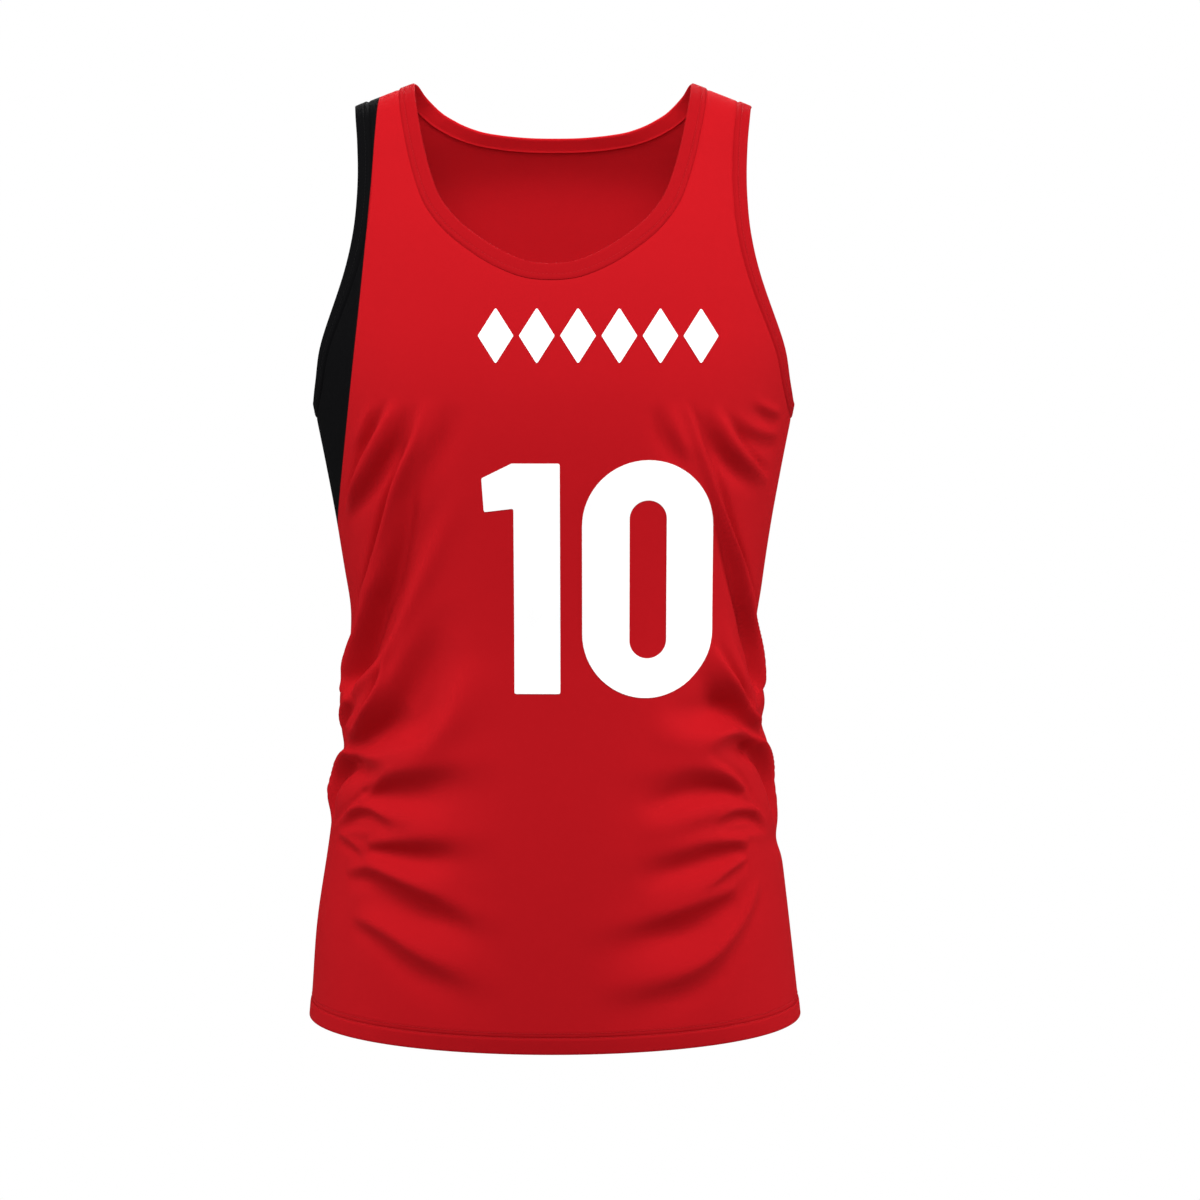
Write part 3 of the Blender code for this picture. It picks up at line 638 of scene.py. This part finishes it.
# A folded strip sewn round an opening. Distances run from its seam to its free edge.
bands = {
    "neckWidth": 0.0130,
    "armholeWidth": 0.0120,
    "wall": 0.0024,
    "edgeRound": (0.02, 0.0016),  # how blunt the free edge is, and the width of its rounding
    "swell": (0.94, 0.06),
    "seamClearance": 0.00006,
    "seamDip": 0.0011,
    "seamDipWidth": 0.0011,
    "stitchLine": 0.0043,
    "stitchGroove": 0.00028,
    "stitchGrooveWidth": 0.0006,
    "seamAllowance": 0.0004,
    "seamAllowanceWidth": 0.0012,
    "firstPlace": 3.0,  # tells a band's cloth from a panel's, whose places end below 1
    "neckCentre": (0.0, 0.0, -0.03),
    "armholeCentre": (0.19, 0.0, -0.13),
    "steps": (0.0, 0.02, 0.045, 0.075, 0.11, 0.155, 0.21, 0.26, 0.295, 0.325, 0.36, 0.41, 0.49, 0.58,
              0.68, 0.78, 0.87, 0.93, 0.965, 0.985, 0.995, 1.0),
}


def bandPlaces(turn, root, centre, distances):
    # turns and roots at each distance inwards from the seam
    places = bodyPoint(turn, root)
    alongTurn, alongRoot, normal = bodyDirections(turn, root)
    along = np.roll(places, -1, axis=0) - np.roll(places, 1, axis=0)
    inward = unit(np.cross(normal, along))
    inward *= np.sign(np.sum(inward * (np.array(centre) - places), axis=1))[:, None]
    rates = np.empty((len(turn), 2))
    for place in range(len(turn)):
        basis = np.stack([alongTurn[place], alongRoot[place]], axis=1)
        rates[place] = np.linalg.lstsq(basis, inward[place], rcond=None)[0]
    bandTurn = turn[:, None] + rates[:, :1] * distances
    bandRoot = root[:, None] + rates[:, 1:] * distances
    return bandTurn, bandRoot, runAlong(places)


def bandHalfWall(distances, width):
    # rounded at the free edge, and a little thinner towards it
    blunt, rounding = bands["edgeRound"]
    level, swell = bands["swell"]
    toEdge = np.clip((width - distances) / rounding, 0, 1)
    edge = np.sqrt(np.clip(1 - (1 - toEdge) ** 2, blunt, 1))
    return bands["wall"] / 2 * edge * (level + swell * np.cos(distances / width * math.pi))


def makeBand(name, turn, root, centre, width):
    distances = bands["seamClearance"] + np.array(bands["steps"]) * (width - bands["seamClearance"])
    bandTurn, bandRoot, travelled = bandPlaces(turn, root, centre, distances)
    across, count = len(distances), len(turn)
    middle, normals = clothMiddle(bandTurn.ravel(), bandRoot.ravel())
    half = np.tile(bandHalfWall(distances, width), count)
    away = np.tile(distances, count)
    dip = bands["seamDip"] * bump(away, bands["seamDipWidth"])
    dip += bands["stitchGroove"] * bump(away - bands["stitchLine"], bands["stitchGrooveWidth"])
    dip *= seamStrength(bandTurn.ravel())
    quads = []
    for place in range(count):
        here, after = place * across, (place + 1) % count * across
        quads += [[here + c, here + c + 1, after + c + 1, after + c] for c in range(across - 1)]
    quads = facingOut(quads, middle, across // 2, normals[0])
    allowance = bands["seamAllowance"] * bump(away, bands["seamAllowanceWidth"])
    outer = middle + normals * (half - dip)[:, None]
    inner = middle - normals * (half + allowance)[:, None]
    place = np.stack([np.repeat(travelled, across), away + bands["firstPlace"]], axis=1)
    print(name, "has", len(quads), "cells a side")
    return makeShell(name, outer, inner, quads, place)


def armholeRing(front, back, hand):
    turn = np.concatenate([front[0], 180.0 - back[0][-2:0:-1]])
    root = np.concatenate([front[1], back[1][-2:0:-1]])
    return hand * turn, root


def neckRing(front, back):
    turn = np.concatenate([-front[0][:0:-1], front[0], 180.0 - back[0][-2::-1], 180.0 + back[0][1:-1]])
    root = np.concatenate([front[1][:0:-1], front[1], back[1][-2::-1], back[1][1:-1]])
    return turn, root


# Rows of thread, each stitch a short rounded bar that lies in its groove.
thread = {
    "length": 0.0021,
    "gap": 0.0008,
    "radius": 0.00026,
    "sides": 5,
    "profile": ((-0.5, 0.0), (-0.44, 0.7), (-0.25, 1.0), (0.25, 1.0), (0.44, 0.7), (0.5, 0.0)),
    "hemPoints": 1200,
    "bandRise": 1.6,
    "hemSink": 0.6,
    "roughness": 0.55,
    "specular": 0.1,
    "twistScale": 2500.0,
    "twistHeight": 0.00005,
    "relief": 0.4,
}


def makeStitches(name, line, normals):
    line, normals = np.concatenate([line, line[:1]]), np.concatenate([normals, normals[:1]])
    travelled = runAlong(line)
    count = int(travelled[-1] / (thread["length"] + thread["gap"]))
    pitch = travelled[-1] / count
    sides, radius = thread["sides"], thread["radius"]
    points, faces = [], []
    starts = np.arange(count) * pitch
    at = lambda where, table: np.stack([np.interp(where, travelled, table[:, k]) for k in range(3)], 1)
    begin, end = at(starts, line), at(starts + thread["length"], line)
    up = unit(at(starts + thread["length"] / 2, normals))
    along = end - begin
    sideways = unit(np.cross(up, along))
    up = unit(np.cross(along, sideways))
    centre = (begin + end) / 2
    turns = np.arange(sides) / sides * 2 * math.pi
    for share, size in thread["profile"]:
        for angle in turns if size else turns[:1]:
            ring = sideways * math.cos(angle) + up * math.sin(angle)
            points.append(centre + along * share + ring * radius * size)
    points = np.stack(points, axis=1)
    each = points.shape[1]
    between = range(len(thread["profile"]) - 2)
    rings = [[0] * sides] + [[1 + r * sides + s for s in range(sides)] for r in between]
    rings.append([each - 1] * sides)
    for low, high in zip(rings[:-1], rings[1:]):
        for s in range(sides):
            face = (low[s], low[(s + 1) % sides], high[(s + 1) % sides], high[s])
            faces.append(tuple(dict.fromkeys(face)))
    allFaces = [tuple(corner + k * each for corner in face) for k in range(count) for face in faces]
    return makeMesh(name, points.reshape(-1, 3), allFaces, {})


def bandStitches(name, turn, root, centre):
    bandTurn, bandRoot, _ = bandPlaces(turn, root, centre, np.array([bands["stitchLine"]]))
    middle, normals = clothMiddle(bandTurn.ravel(), bandRoot.ravel())
    strength = seamStrength(bandTurn.ravel())
    rise = (thread["bandRise"] * strength - 1) * thread["radius"]
    lift = bands["wall"] / 2 - bands["stitchGroove"] * strength + rise
    return makeStitches(name, middle + normals * lift[:, None], normals)


def hemStitches(name, height, lift):
    turn = np.linspace(-90, 270, thread["hemPoints"] + 1)[:-1]
    root = np.full_like(turn, math.sqrt(form["length"] - height))
    middle, normals = clothMiddle(turn, root)
    return makeStitches(name, middle + normals * (lift - hemTurn(turn, height))[:, None], normals)


# The number and the motif are thin white films pressed on the chest, drawn flat in x and z.
number = {
    "wall": 0.00022,
    "standOff": 0.00010,
    "cell": 0.0020,
    "oneLeft": -0.0520,
    "oneStem": (-0.0282, 0.0065),
    "oneTop": -0.2899,
    "oneBottom": -0.4648,
    "zeroSides": (0.0230, 0.1222),
    "zeroEnds": (-0.4690, -0.2876),
    "zeroStroke": 0.0356,
    "zeroCap": 0.0303,
    "flagSlant": (0.0012, 0.0016),  # how far the one's flag leans at its top and at its tip
    "flagDrops": (0.0112, 0.0366, 0.0338),  # below the top: the tip's two corners, and the stem's
    "corner": 0.0016,
    "cornerPoints": 6,
    "arcPoints": 33,
    "sharpAngle": 60,
    "rounds": 6,
    "eachRound": 0.8,  # the share of the remaining gap that a round closes
}


def roundedOutline(corners, radius):
    # the corners joined by straight lines, each corner turned on an arc
    outline = []
    corners = [np.array(corner) for corner in corners]
    for before, corner, after in zip(corners[-1:] + corners[:-1], corners, corners[1:] + corners[:1]):
        into, out = unit(corner - before), unit(after - corner)
        bend = math.acos(np.clip(into @ out, -1, 1))
        cut = radius * math.tan(bend / 2)
        start, end = corner - into * cut, corner + out * cut
        for t in np.linspace(0, 1, number["cornerPoints"]):
            outline.append((1 - t) ** 2 * start + 2 * t * (1 - t) * corner + t**2 * end)
    return outline


def stadiumOutline(left, right, bottom, top):
    radius, centre = (right - left) / 2, (left + right) / 2
    arc = np.linspace(0, math.pi, number["arcPoints"])
    upper = [(centre + radius * math.cos(a), top - radius + radius * math.sin(a)) for a in arc]
    lower = [(centre - radius * math.cos(a), bottom + radius - radius * math.sin(a)) for a in arc]
    return upper + lower


def flatShape(outlines, cell):
    # the filled outlines, cut into cells so that they can bend with the cloth
    curve = bpy.data.curves.new("outline", "CURVE")
    curve.dimensions, curve.fill_mode = "2D", "BOTH"
    for outline in outlines:
        spline = curve.splines.new("POLY")
        spline.points.add(len(outline) - 1)
        for point, (x, z) in zip(spline.points, outline):
            point.co = (x, z, 0, 1)
        spline.use_cyclic_u = True
    guide = bpy.data.objects.new("outline", curve)
    mesh = bpy.data.meshes.new_from_object(guide)
    shape = bmesh.new()
    shape.from_mesh(mesh)
    corners = np.array([vertex.co[:2] for vertex in shape.verts])
    for axis in range(2):
        normal = [0.0, 0.0, 0.0]
        normal[axis] = 1.0
        for place in np.arange(corners[:, axis].min() + cell / 2, corners[:, axis].max(), cell):
            everything = shape.verts[:] + shape.edges[:] + shape.faces[:]
            on = [place if k == axis else 0.0 for k in range(3)]
            bmesh.ops.bisect_plane(shape, geom=everything, plane_co=on, plane_no=normal, dist=1e-7)
    bmesh.ops.remove_doubles(shape, verts=shape.verts, dist=1e-6)
    points = np.array([vertex.co[:2] for vertex in shape.verts])
    faces = [[vertex.index for vertex in face.verts] for face in shape.faces]
    shape.free()
    bpy.data.objects.remove(guide)
    return points, faces


def onCloth(flat):
    # the cloth's own point behind each flat x and z, seen from the front
    guess = flat.copy()
    for _ in range(number["rounds"]):
        drop = -guess[:, 1]
        for _ in range(number["rounds"]):
            drop = shoulderHeight(guess[:, 0]) * np.exp(-drop / form["slopeFade"]) - guess[:, 1]
        halfWidth = smoothCurve(sectionAt["drop"], sectionAt["halfWidth"], drop)
        turn = np.degrees(np.arcsin(guess[:, 0] / halfWidth))
        points, normals = clothMiddle(turn, np.sqrt(drop))
        guess -= number["eachRound"] * (points[:, ::2] - flat)
    return points, normals


def makeFilm(name, outlines):
    flat, faces = flatShape(outlines, number["cell"])
    middle, normals = onCloth(flat)
    low = panels["wall"] / 2 + number["standOff"]
    outer = middle + normals * (low + number["wall"])
    inner = middle + normals * low
    faces = facingOut(faces, outer, 0, normals[faces[0][0]])
    piece = makeShell(name, outer, inner, faces, flat)
    piece.data.set_sharp_from_angle(angle=math.radians(number["sharpAngle"]))
    return piece


def makeNumberOne():
    stemLeft, stemRight = number["oneStem"]
    top, bottom, left = number["oneTop"], number["oneBottom"], number["oneLeft"]
    lean, tipLean = number["flagSlant"]
    tip, foot, inside = [top - drop for drop in number["flagDrops"]]
    corners = [
        (stemRight, top), (stemLeft - lean, top), (left, tip), (left + tipLean, foot),
        (stemLeft, inside), (stemLeft, bottom), (stemRight, bottom),
    ]
    return makeFilm("number_one", [roundedOutline(corners, number["corner"])])


def makeNumberZero():
    left, right = number["zeroSides"]
    bottom, top = number["zeroEnds"]
    stroke, cap = number["zeroStroke"], number["zeroCap"]
    hole = stadiumOutline(left + stroke, right - stroke, bottom + cap, top - cap)
    return makeFilm("number_zero", [stadiumOutline(left, right, bottom, top), hole[::-1]])


motif = {
    "left": -0.0541,
    "right": 0.1251,
    "top": -0.1747,
    "bottom": -0.2163,
    "count": 6,
    "gap": 0.0040,
    "corner": 0.0012,
}


def makeMotif():
    pitch = (motif["right"] - motif["left"] + motif["gap"]) / motif["count"]
    middle = (motif["top"] + motif["bottom"]) / 2
    outlines = []
    for index in range(motif["count"]):
        left = motif["left"] + index * pitch
        right = left + pitch - motif["gap"]
        centre = (left + right) / 2
        corners = [(centre, motif["top"]), (left, middle), (centre, motif["bottom"]), (right, middle)]
        outlines.append(roundedOutline(corners, motif["corner"]))
    return makeFilm("chest_motif", outlines)


class Flow:
    # wraps an output socket, so that a formula on values adds its Math nodes
    def __init__(self, bench, socket):
        self.bench, self.socket = bench, socket

    def math(self, operation, first, second=None):
        sockets = {0: first} if second is None else {0: first, 1: second}
        return self.bench.add("ShaderNodeMath", {"operation": operation}, sockets)

    def __add__(self, other): return self.math("ADD", self, other)
    def __radd__(self, other): return self.math("ADD", other, self)
    def __sub__(self, other): return self.math("SUBTRACT", self, other)
    def __rsub__(self, other): return self.math("SUBTRACT", other, self)
    def __mul__(self, other): return self.math("MULTIPLY", self, other)
    def __rmul__(self, other): return self.math("MULTIPLY", other, self)
    def __truediv__(self, other): return self.math("DIVIDE", self, other)
    def __rtruediv__(self, other): return self.math("DIVIDE", other, self)
    def __abs__(self): return self.math("ABSOLUTE", self)

    def sine(self): return self.math("SINE", self)
    def fraction(self): return self.math("FRACT", self)

    def between(self, low, high):
        settings = {"interpolation_type": "SMOOTHSTEP"}
        sockets = {"Value": self, "From Min": low, "From Max": high}
        return self.bench.add("ShaderNodeMapRange", settings, sockets)


class Bench:
    # the nodes of a material or of the world, with the shader that it starts with
    def __init__(self, block, shader="Principled BSDF"):
        block.use_nodes = True
        self.block, self.tree = block, block.node_tree
        self.shader = self.tree.nodes[shader]

    def add(self, kind, settings, sockets, output=0):
        node = self.tree.nodes.new(kind)
        for key, value in settings.items():
            setattr(node, key, value)
        for key, value in sockets.items():
            self.put(node.inputs[key], value)
        return Flow(self, node.outputs[output])

    def put(self, socket, value):
        if isinstance(value, Flow):
            self.tree.links.new(value.socket, socket)
        else:
            socket.default_value = value

    def mix(self, factor, first, second):
        settings = {"data_type": "RGBA"}
        return self.add("ShaderNodeMix", settings, {0: factor, 6: first, 7: second}, output=2)

    def parts(self, vector):
        first = self.add("ShaderNodeSeparateXYZ", {}, {0: vector})
        return [Flow(self, output) for output in first.socket.node.outputs]

    def position(self):
        return self.add("ShaderNodeNewGeometry", {}, {})

    def noise(self, place, scale, detail):
        return self.add("ShaderNodeTexNoise", {}, {"Vector": place, "Scale": scale, "Detail": detail})

    def relief(self, height, strength):
        sockets = {"Strength": strength, "Distance": 1.0, "Height": height}
        self.set(Normal=self.add("ShaderNodeBump", {}, sockets))

    def set(self, **values):
        for key, value in values.items():
            self.put(self.shader.inputs[key.replace("_", " ")], value)


jersey = {
    "red": (0.428, 0.0068, 0.0108, 1.0),
    "deepRed": (0.392, 0.0060, 0.0097, 1.0),
    "black": (0.0032, 0.0032, 0.0036, 1.0),
    # painted shade: the bands' outside is a darker red than the panels', standing in for shade at the edges
    # of the openings
    "bandPaintedShadeRed": (0.352, 0.0052, 0.0086, 1.0),
    # painted light: the inside's red is lighter than the outside's, standing in for light that reaches the
    # inside through the openings
    "insidePaintedLightRed": (0.540, 0.0090, 0.0144, 1.0),
    # painted shade: a darker inside red for lower down, standing in for the shade deeper in the hollow
    "insidePaintedShadeRed": (0.430, 0.0066, 0.0108, 1.0),
    # painted light: the bands' inner faces are lighter still, standing in for light where they sit in shadow
    "insideBandPaintedLightRed": (0.620, 0.0100, 0.0160, 1.0),
    "deepShare": 0.35,
    "grainShare": 0.35,
    "insidePaintedShadeDrops": (0.07, 0.20),  # painted shade: the inside is painted darker over these drops, deeper inside the body
    "roughness": 0.72,
    "roughnessChange": 0.10,
    "specular": 0.015,
    "grainScale": 700.0,
    "grainHeight": 0.00010,
    "mottleScale": 9.0,
    "mottleRange": (0.30, 0.72),
    "wale": 0.00095,
    "course": 0.00080,
    "legSlant": 1.6,
    "knitHeight": 0.00009,
    "relief": 0.35,
    "wedgeTop": 0.1346,
    "wedgeSlope": 0.020,
    "wedgeBow": 0.25,
    "wedgeEdge": 0.00035,
}


def blackWedge(bench):
    # 1 on the printed black side: its edge runs down and out from the strap to the side
    across, _, height = bench.parts(bench.position())
    depth = height * -1
    edge = depth * depth * jersey["wedgeBow"] + depth * jersey["wedgeSlope"] + jersey["wedgeTop"]
    return (-1 * across - edge).between(-jersey["wedgeEdge"], jersey["wedgeEdge"])


def knitHeight(bench, place):
    # a jersey face: two slanting legs to each wale, one pair a course
    across, down, _ = bench.parts(place)
    leg = abs((across / jersey["wale"]).fraction() - 0.5)
    slant = ((down / jersey["course"] - leg * jersey["legSlant"]) * (2 * math.pi)).sine()
    ridge = ((leg * 2 - 0.25) * (2 * math.pi)).sine()
    return slant * 0.5 + ridge * 0.5


def clothMaterial(name):
    bench = Bench(bpy.data.materials.new(name))
    place = bench.add("ShaderNodeAttribute", {"attribute_name": "clothPlace"}, {}, output=1)
    grain = bench.noise(place, jersey["grainScale"], 2.0)
    mottle = bench.noise(bench.position(), jersey["mottleScale"], 3.0)
    share = jersey["grainShare"]
    soft = (grain * share + mottle * (1 - share)).between(*jersey["mottleRange"])
    outside = bench.mix(soft * jersey["deepShare"], jersey["red"], jersey["deepRed"])
    _, down, skin = bench.parts(place)
    band = down.between(1.0, 2.0)  # 1 on a band's cloth, 0 on a panel's
    # painted shade: the bands' outer face takes the darker red
    outside = bench.mix(band, outside, jersey["bandPaintedShadeRed"])
    # painted light and painted shade on the inside: lighter than the outside, and painted darker lower down
    inside = bench.mix(down.between(*jersey["insidePaintedShadeDrops"]), jersey["insidePaintedLightRed"], jersey["insidePaintedShadeRed"])
    # painted light: the bands' inner faces take the lightest red
    inside = bench.mix(band, inside, jersey["insideBandPaintedLightRed"])
    colour = bench.mix(skin.between(0.0, 0.2), inside, outside)
    bench.set(Base_Color=bench.mix(blackWedge(bench), colour, jersey["black"]))
    bench.set(Roughness=jersey["roughness"] + (grain - 0.5) * jersey["roughnessChange"])
    bench.set(Specular_IOR_Level=jersey["specular"])
    height = knitHeight(bench, place) * jersey["knitHeight"] + grain * jersey["grainHeight"]
    bench.relief(height, jersey["relief"])
    return bench.block


film = {
    "white": (0.96, 0.96, 0.96, 1.0),
    "greyWhite": (0.94, 0.94, 0.94, 1.0),
    "broadScale": 30.0,
    "roughness": 0.42,
    "roughnessChange": 0.08,
    "specular": 0.35,
    "grainScale": 900.0,
    "grainHeight": 0.00006,
    "relief": 0.25,
}


def filmMaterial(name):
    bench = Bench(bpy.data.materials.new(name))
    grain = bench.noise(bench.position(), film["grainScale"], 2.0)
    broad = bench.noise(bench.position(), film["broadScale"], 2.0)
    bench.set(Base_Color=bench.mix(broad.between(0.4, 0.7), film["white"], film["greyWhite"]))
    bench.set(Roughness=film["roughness"] + grain * film["roughnessChange"])
    bench.set(Specular_IOR_Level=film["specular"])
    bench.relief(grain * film["grainHeight"], film["relief"])
    return bench.block


def threadMaterial(name):
    bench = Bench(bpy.data.materials.new(name))
    twist = bench.noise(bench.position(), thread["twistScale"], 1.0)
    colour = bench.mix(twist.between(0.3, 0.7), jersey["red"], jersey["deepRed"])
    bench.set(Base_Color=bench.mix(blackWedge(bench), colour, jersey["black"]))
    bench.set(Roughness=thread["roughness"] + twist * 0.1, Specular_IOR_Level=thread["specular"])
    bench.relief(twist * thread["twistHeight"], thread["relief"])
    return bench.block


def dress(piece, material, slotName, *solids):
    piece.data.materials.append(material)
    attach(piece, "root")
    if solids:
        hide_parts(*solids)
    return piece


frontNeck = neckPlaces(frontNeckSeam, panels["front"])
backNeck = neckPlaces(backNeckSeam, panels["back"])
frontArm, backArm = armholePlaces(frontArmholeSeam), armholePlaces(backArmholeSeam)

cloth = clothMaterial("jersey_knit")
sewing = threadMaterial("polyester_thread")
white = filmMaterial("pressed_white_film")
print("cloth, thread and film ready")

frontCloth = dress(makePanel("front_cloth", True, frontNeck, frontArm), cloth, "body_cloth", "front_panel")
backCloth = dress(makePanel("back_cloth", False, backNeck, backArm), cloth, "body_cloth", "back_panel")

ringTurn, ringRoot = neckRing(frontNeck, backNeck)
neckBand = makeBand("neckband_cloth", ringTurn, ringRoot, bands["neckCentre"], bands["neckWidth"])
dress(neckBand, cloth, "band_cloth", "neckband")
neckThread = bandStitches("neck_stitching", ringTurn, ringRoot, bands["neckCentre"])
dress(neckThread, sewing, "sewing_thread")

for hand, side, slotName in ((1, "left", "band_cloth"), (-1, "right", "band_cloth_black")):
    ringTurn, ringRoot = armholeRing(frontArm, backArm, hand)
    centre = np.array(bands["armholeCentre"]) * (hand, 1, 1)
    band = makeBand("armhole_band_" + side + "_cloth", ringTurn, ringRoot, centre, bands["armholeWidth"])
    dress(band, cloth, slotName, "armhole_band_" + side)
    bandThread = bandStitches("armhole_stitching_" + side, ringTurn, ringRoot, centre)
    dress(bandThread, sewing, "sewing_thread")
print("bands sewn on")

hemLift = panels["hemWall"] / 2 - panels["hemGroove"] * thread["hemSink"]
hemLower = dress(hemStitches("hem_stitching_lower", panels["hemDepth"], hemLift), sewing, "sewing_thread")
upperHeight = panels["hemDepth"] + panels["hemRowGap"]
hemUpper = dress(hemStitches("hem_stitching_upper", upperHeight, panels["wall"] / 2), sewing, "sewing_thread")
one = dress(makeNumberOne(), white, "print_white")
zero = dress(makeNumberZero(), white, "print_white")
lozenges = dress(makeMotif(), white, "print_white")
print("hem, number and motif made")


# The studio: a pale floor well below, high soft lights before and behind, weaker ones at the sides.
studio = {
    "floorHeight": -1.35,
    "floorSize": 30.0,
    "floorGrey": 0.50,
    "fill": 0.105,
    "aim": (0.0, 0.0, -0.42),
    "lights": (
        # name, place, width, height, watts
        ("front_light", (0.0, -1.3, 1.3), 1.2, 0.8, 38.0),
        ("front_soft_light", (0.0, -2.1, 0.75), 1.6, 1.0, 25.0),
        ("side_light_left", (1.9, 0.0, 0.25), 0.8, 1.2, 15.0),
        ("side_light_right", (-1.9, 0.0, 0.25), 0.8, 1.2, 11.5),
        ("high_light_left", (1.2, 0.0, 1.1), 0.8, 0.8, 1.5),
        ("high_light_right", (-1.2, 0.0, 1.1), 0.8, 0.8, 1.5),
        ("low_light_left", (2.0, 0.0, -0.60), 0.8, 1.2, 11.0),
        ("low_light_right", (-2.0, 0.0, -0.60), 0.8, 1.2, 9.0),
        ("back_light", (0.0, 1.3, 1.3), 1.2, 0.8, 32.0),
        ("back_soft_light", (0.0, 2.1, 0.75), 1.6, 1.0, 18.0),
    ),
    "cameraPlace": (0.0365, -1.80, -0.2126),
    "cameraPitch": 6.0885,
    "lens": 67.77,
    "sensorWidth": 36.0,
}


def makeFloor():
    bench, grey = Bench(bpy.data.materials.new("pale_floor")), studio["floorGrey"]
    bench.set(Base_Color=(grey, grey, grey, 1.0), Roughness=0.9, Specular_IOR_Level=0.1)
    rays = bench.add("ShaderNodeLightPath", {}, {})
    glow = bench.add("ShaderNodeEmission", {}, {"Color": (1.0, 1.0, 1.0, 1.0), "Strength": 1.0})
    shown = bench.add("ShaderNodeMixShader", {}, {0: rays, 1: Flow(bench, bench.shader.outputs[0]), 2: glow})
    bench.tree.links.new(shown.socket, bench.tree.nodes["Material Output"].inputs["Surface"])
    size = studio["floorSize"] / 2
    corners = np.array([(-size, -size, 0), (size, -size, 0), (size, size, 0), (-size, size, 0)])
    floor = makeMesh("floor", corners + (0, 0, studio["floorHeight"]), [(0, 1, 2, 3)], {})
    floor.data.materials.append(bench.block)


def makeWorld():
    # white to the camera, and a weak fill for everything else
    world = bpy.data.worlds.new("studio")
    bpy.context.scene.world = world
    bench = Bench(world, "Background")
    rays = bench.add("ShaderNodeLightPath", {}, {})
    bench.set(Color=(1.0, 1.0, 1.0, 1.0), Strength=rays * (1 - studio["fill"]) + studio["fill"])


def aimAt(item, place, aim):
    item.location = place
    direction = np.array(aim) - np.array(place)
    flat = math.hypot(direction[0], direction[1])
    item.rotation_euler = (math.atan2(flat, -direction[2]), 0, math.atan2(-direction[0], direction[1]))


def makeLights():
    for name, place, width, height, watts in studio["lights"]:
        light = bpy.data.lights.new(name, "AREA")
        light.shape, light.size, light.size_y, light.energy = "RECTANGLE", width, height, watts
        aimAt(addObject(name, light), place, studio["aim"])


def makeCamera():
    camera = bpy.data.cameras.new("camera")
    camera.lens, camera.sensor_width = studio["lens"], studio["sensorWidth"]
    item = addObject("camera", camera)
    item.location = studio["cameraPlace"]
    item.rotation_euler = (math.radians(90 - studio["cameraPitch"]), 0, 0)
    bpy.context.scene.camera = item


makeFloor()
makeWorld()
makeLights()
makeCamera()
bpy.context.scene.view_settings.view_transform = "Standard"
print("studio ready")
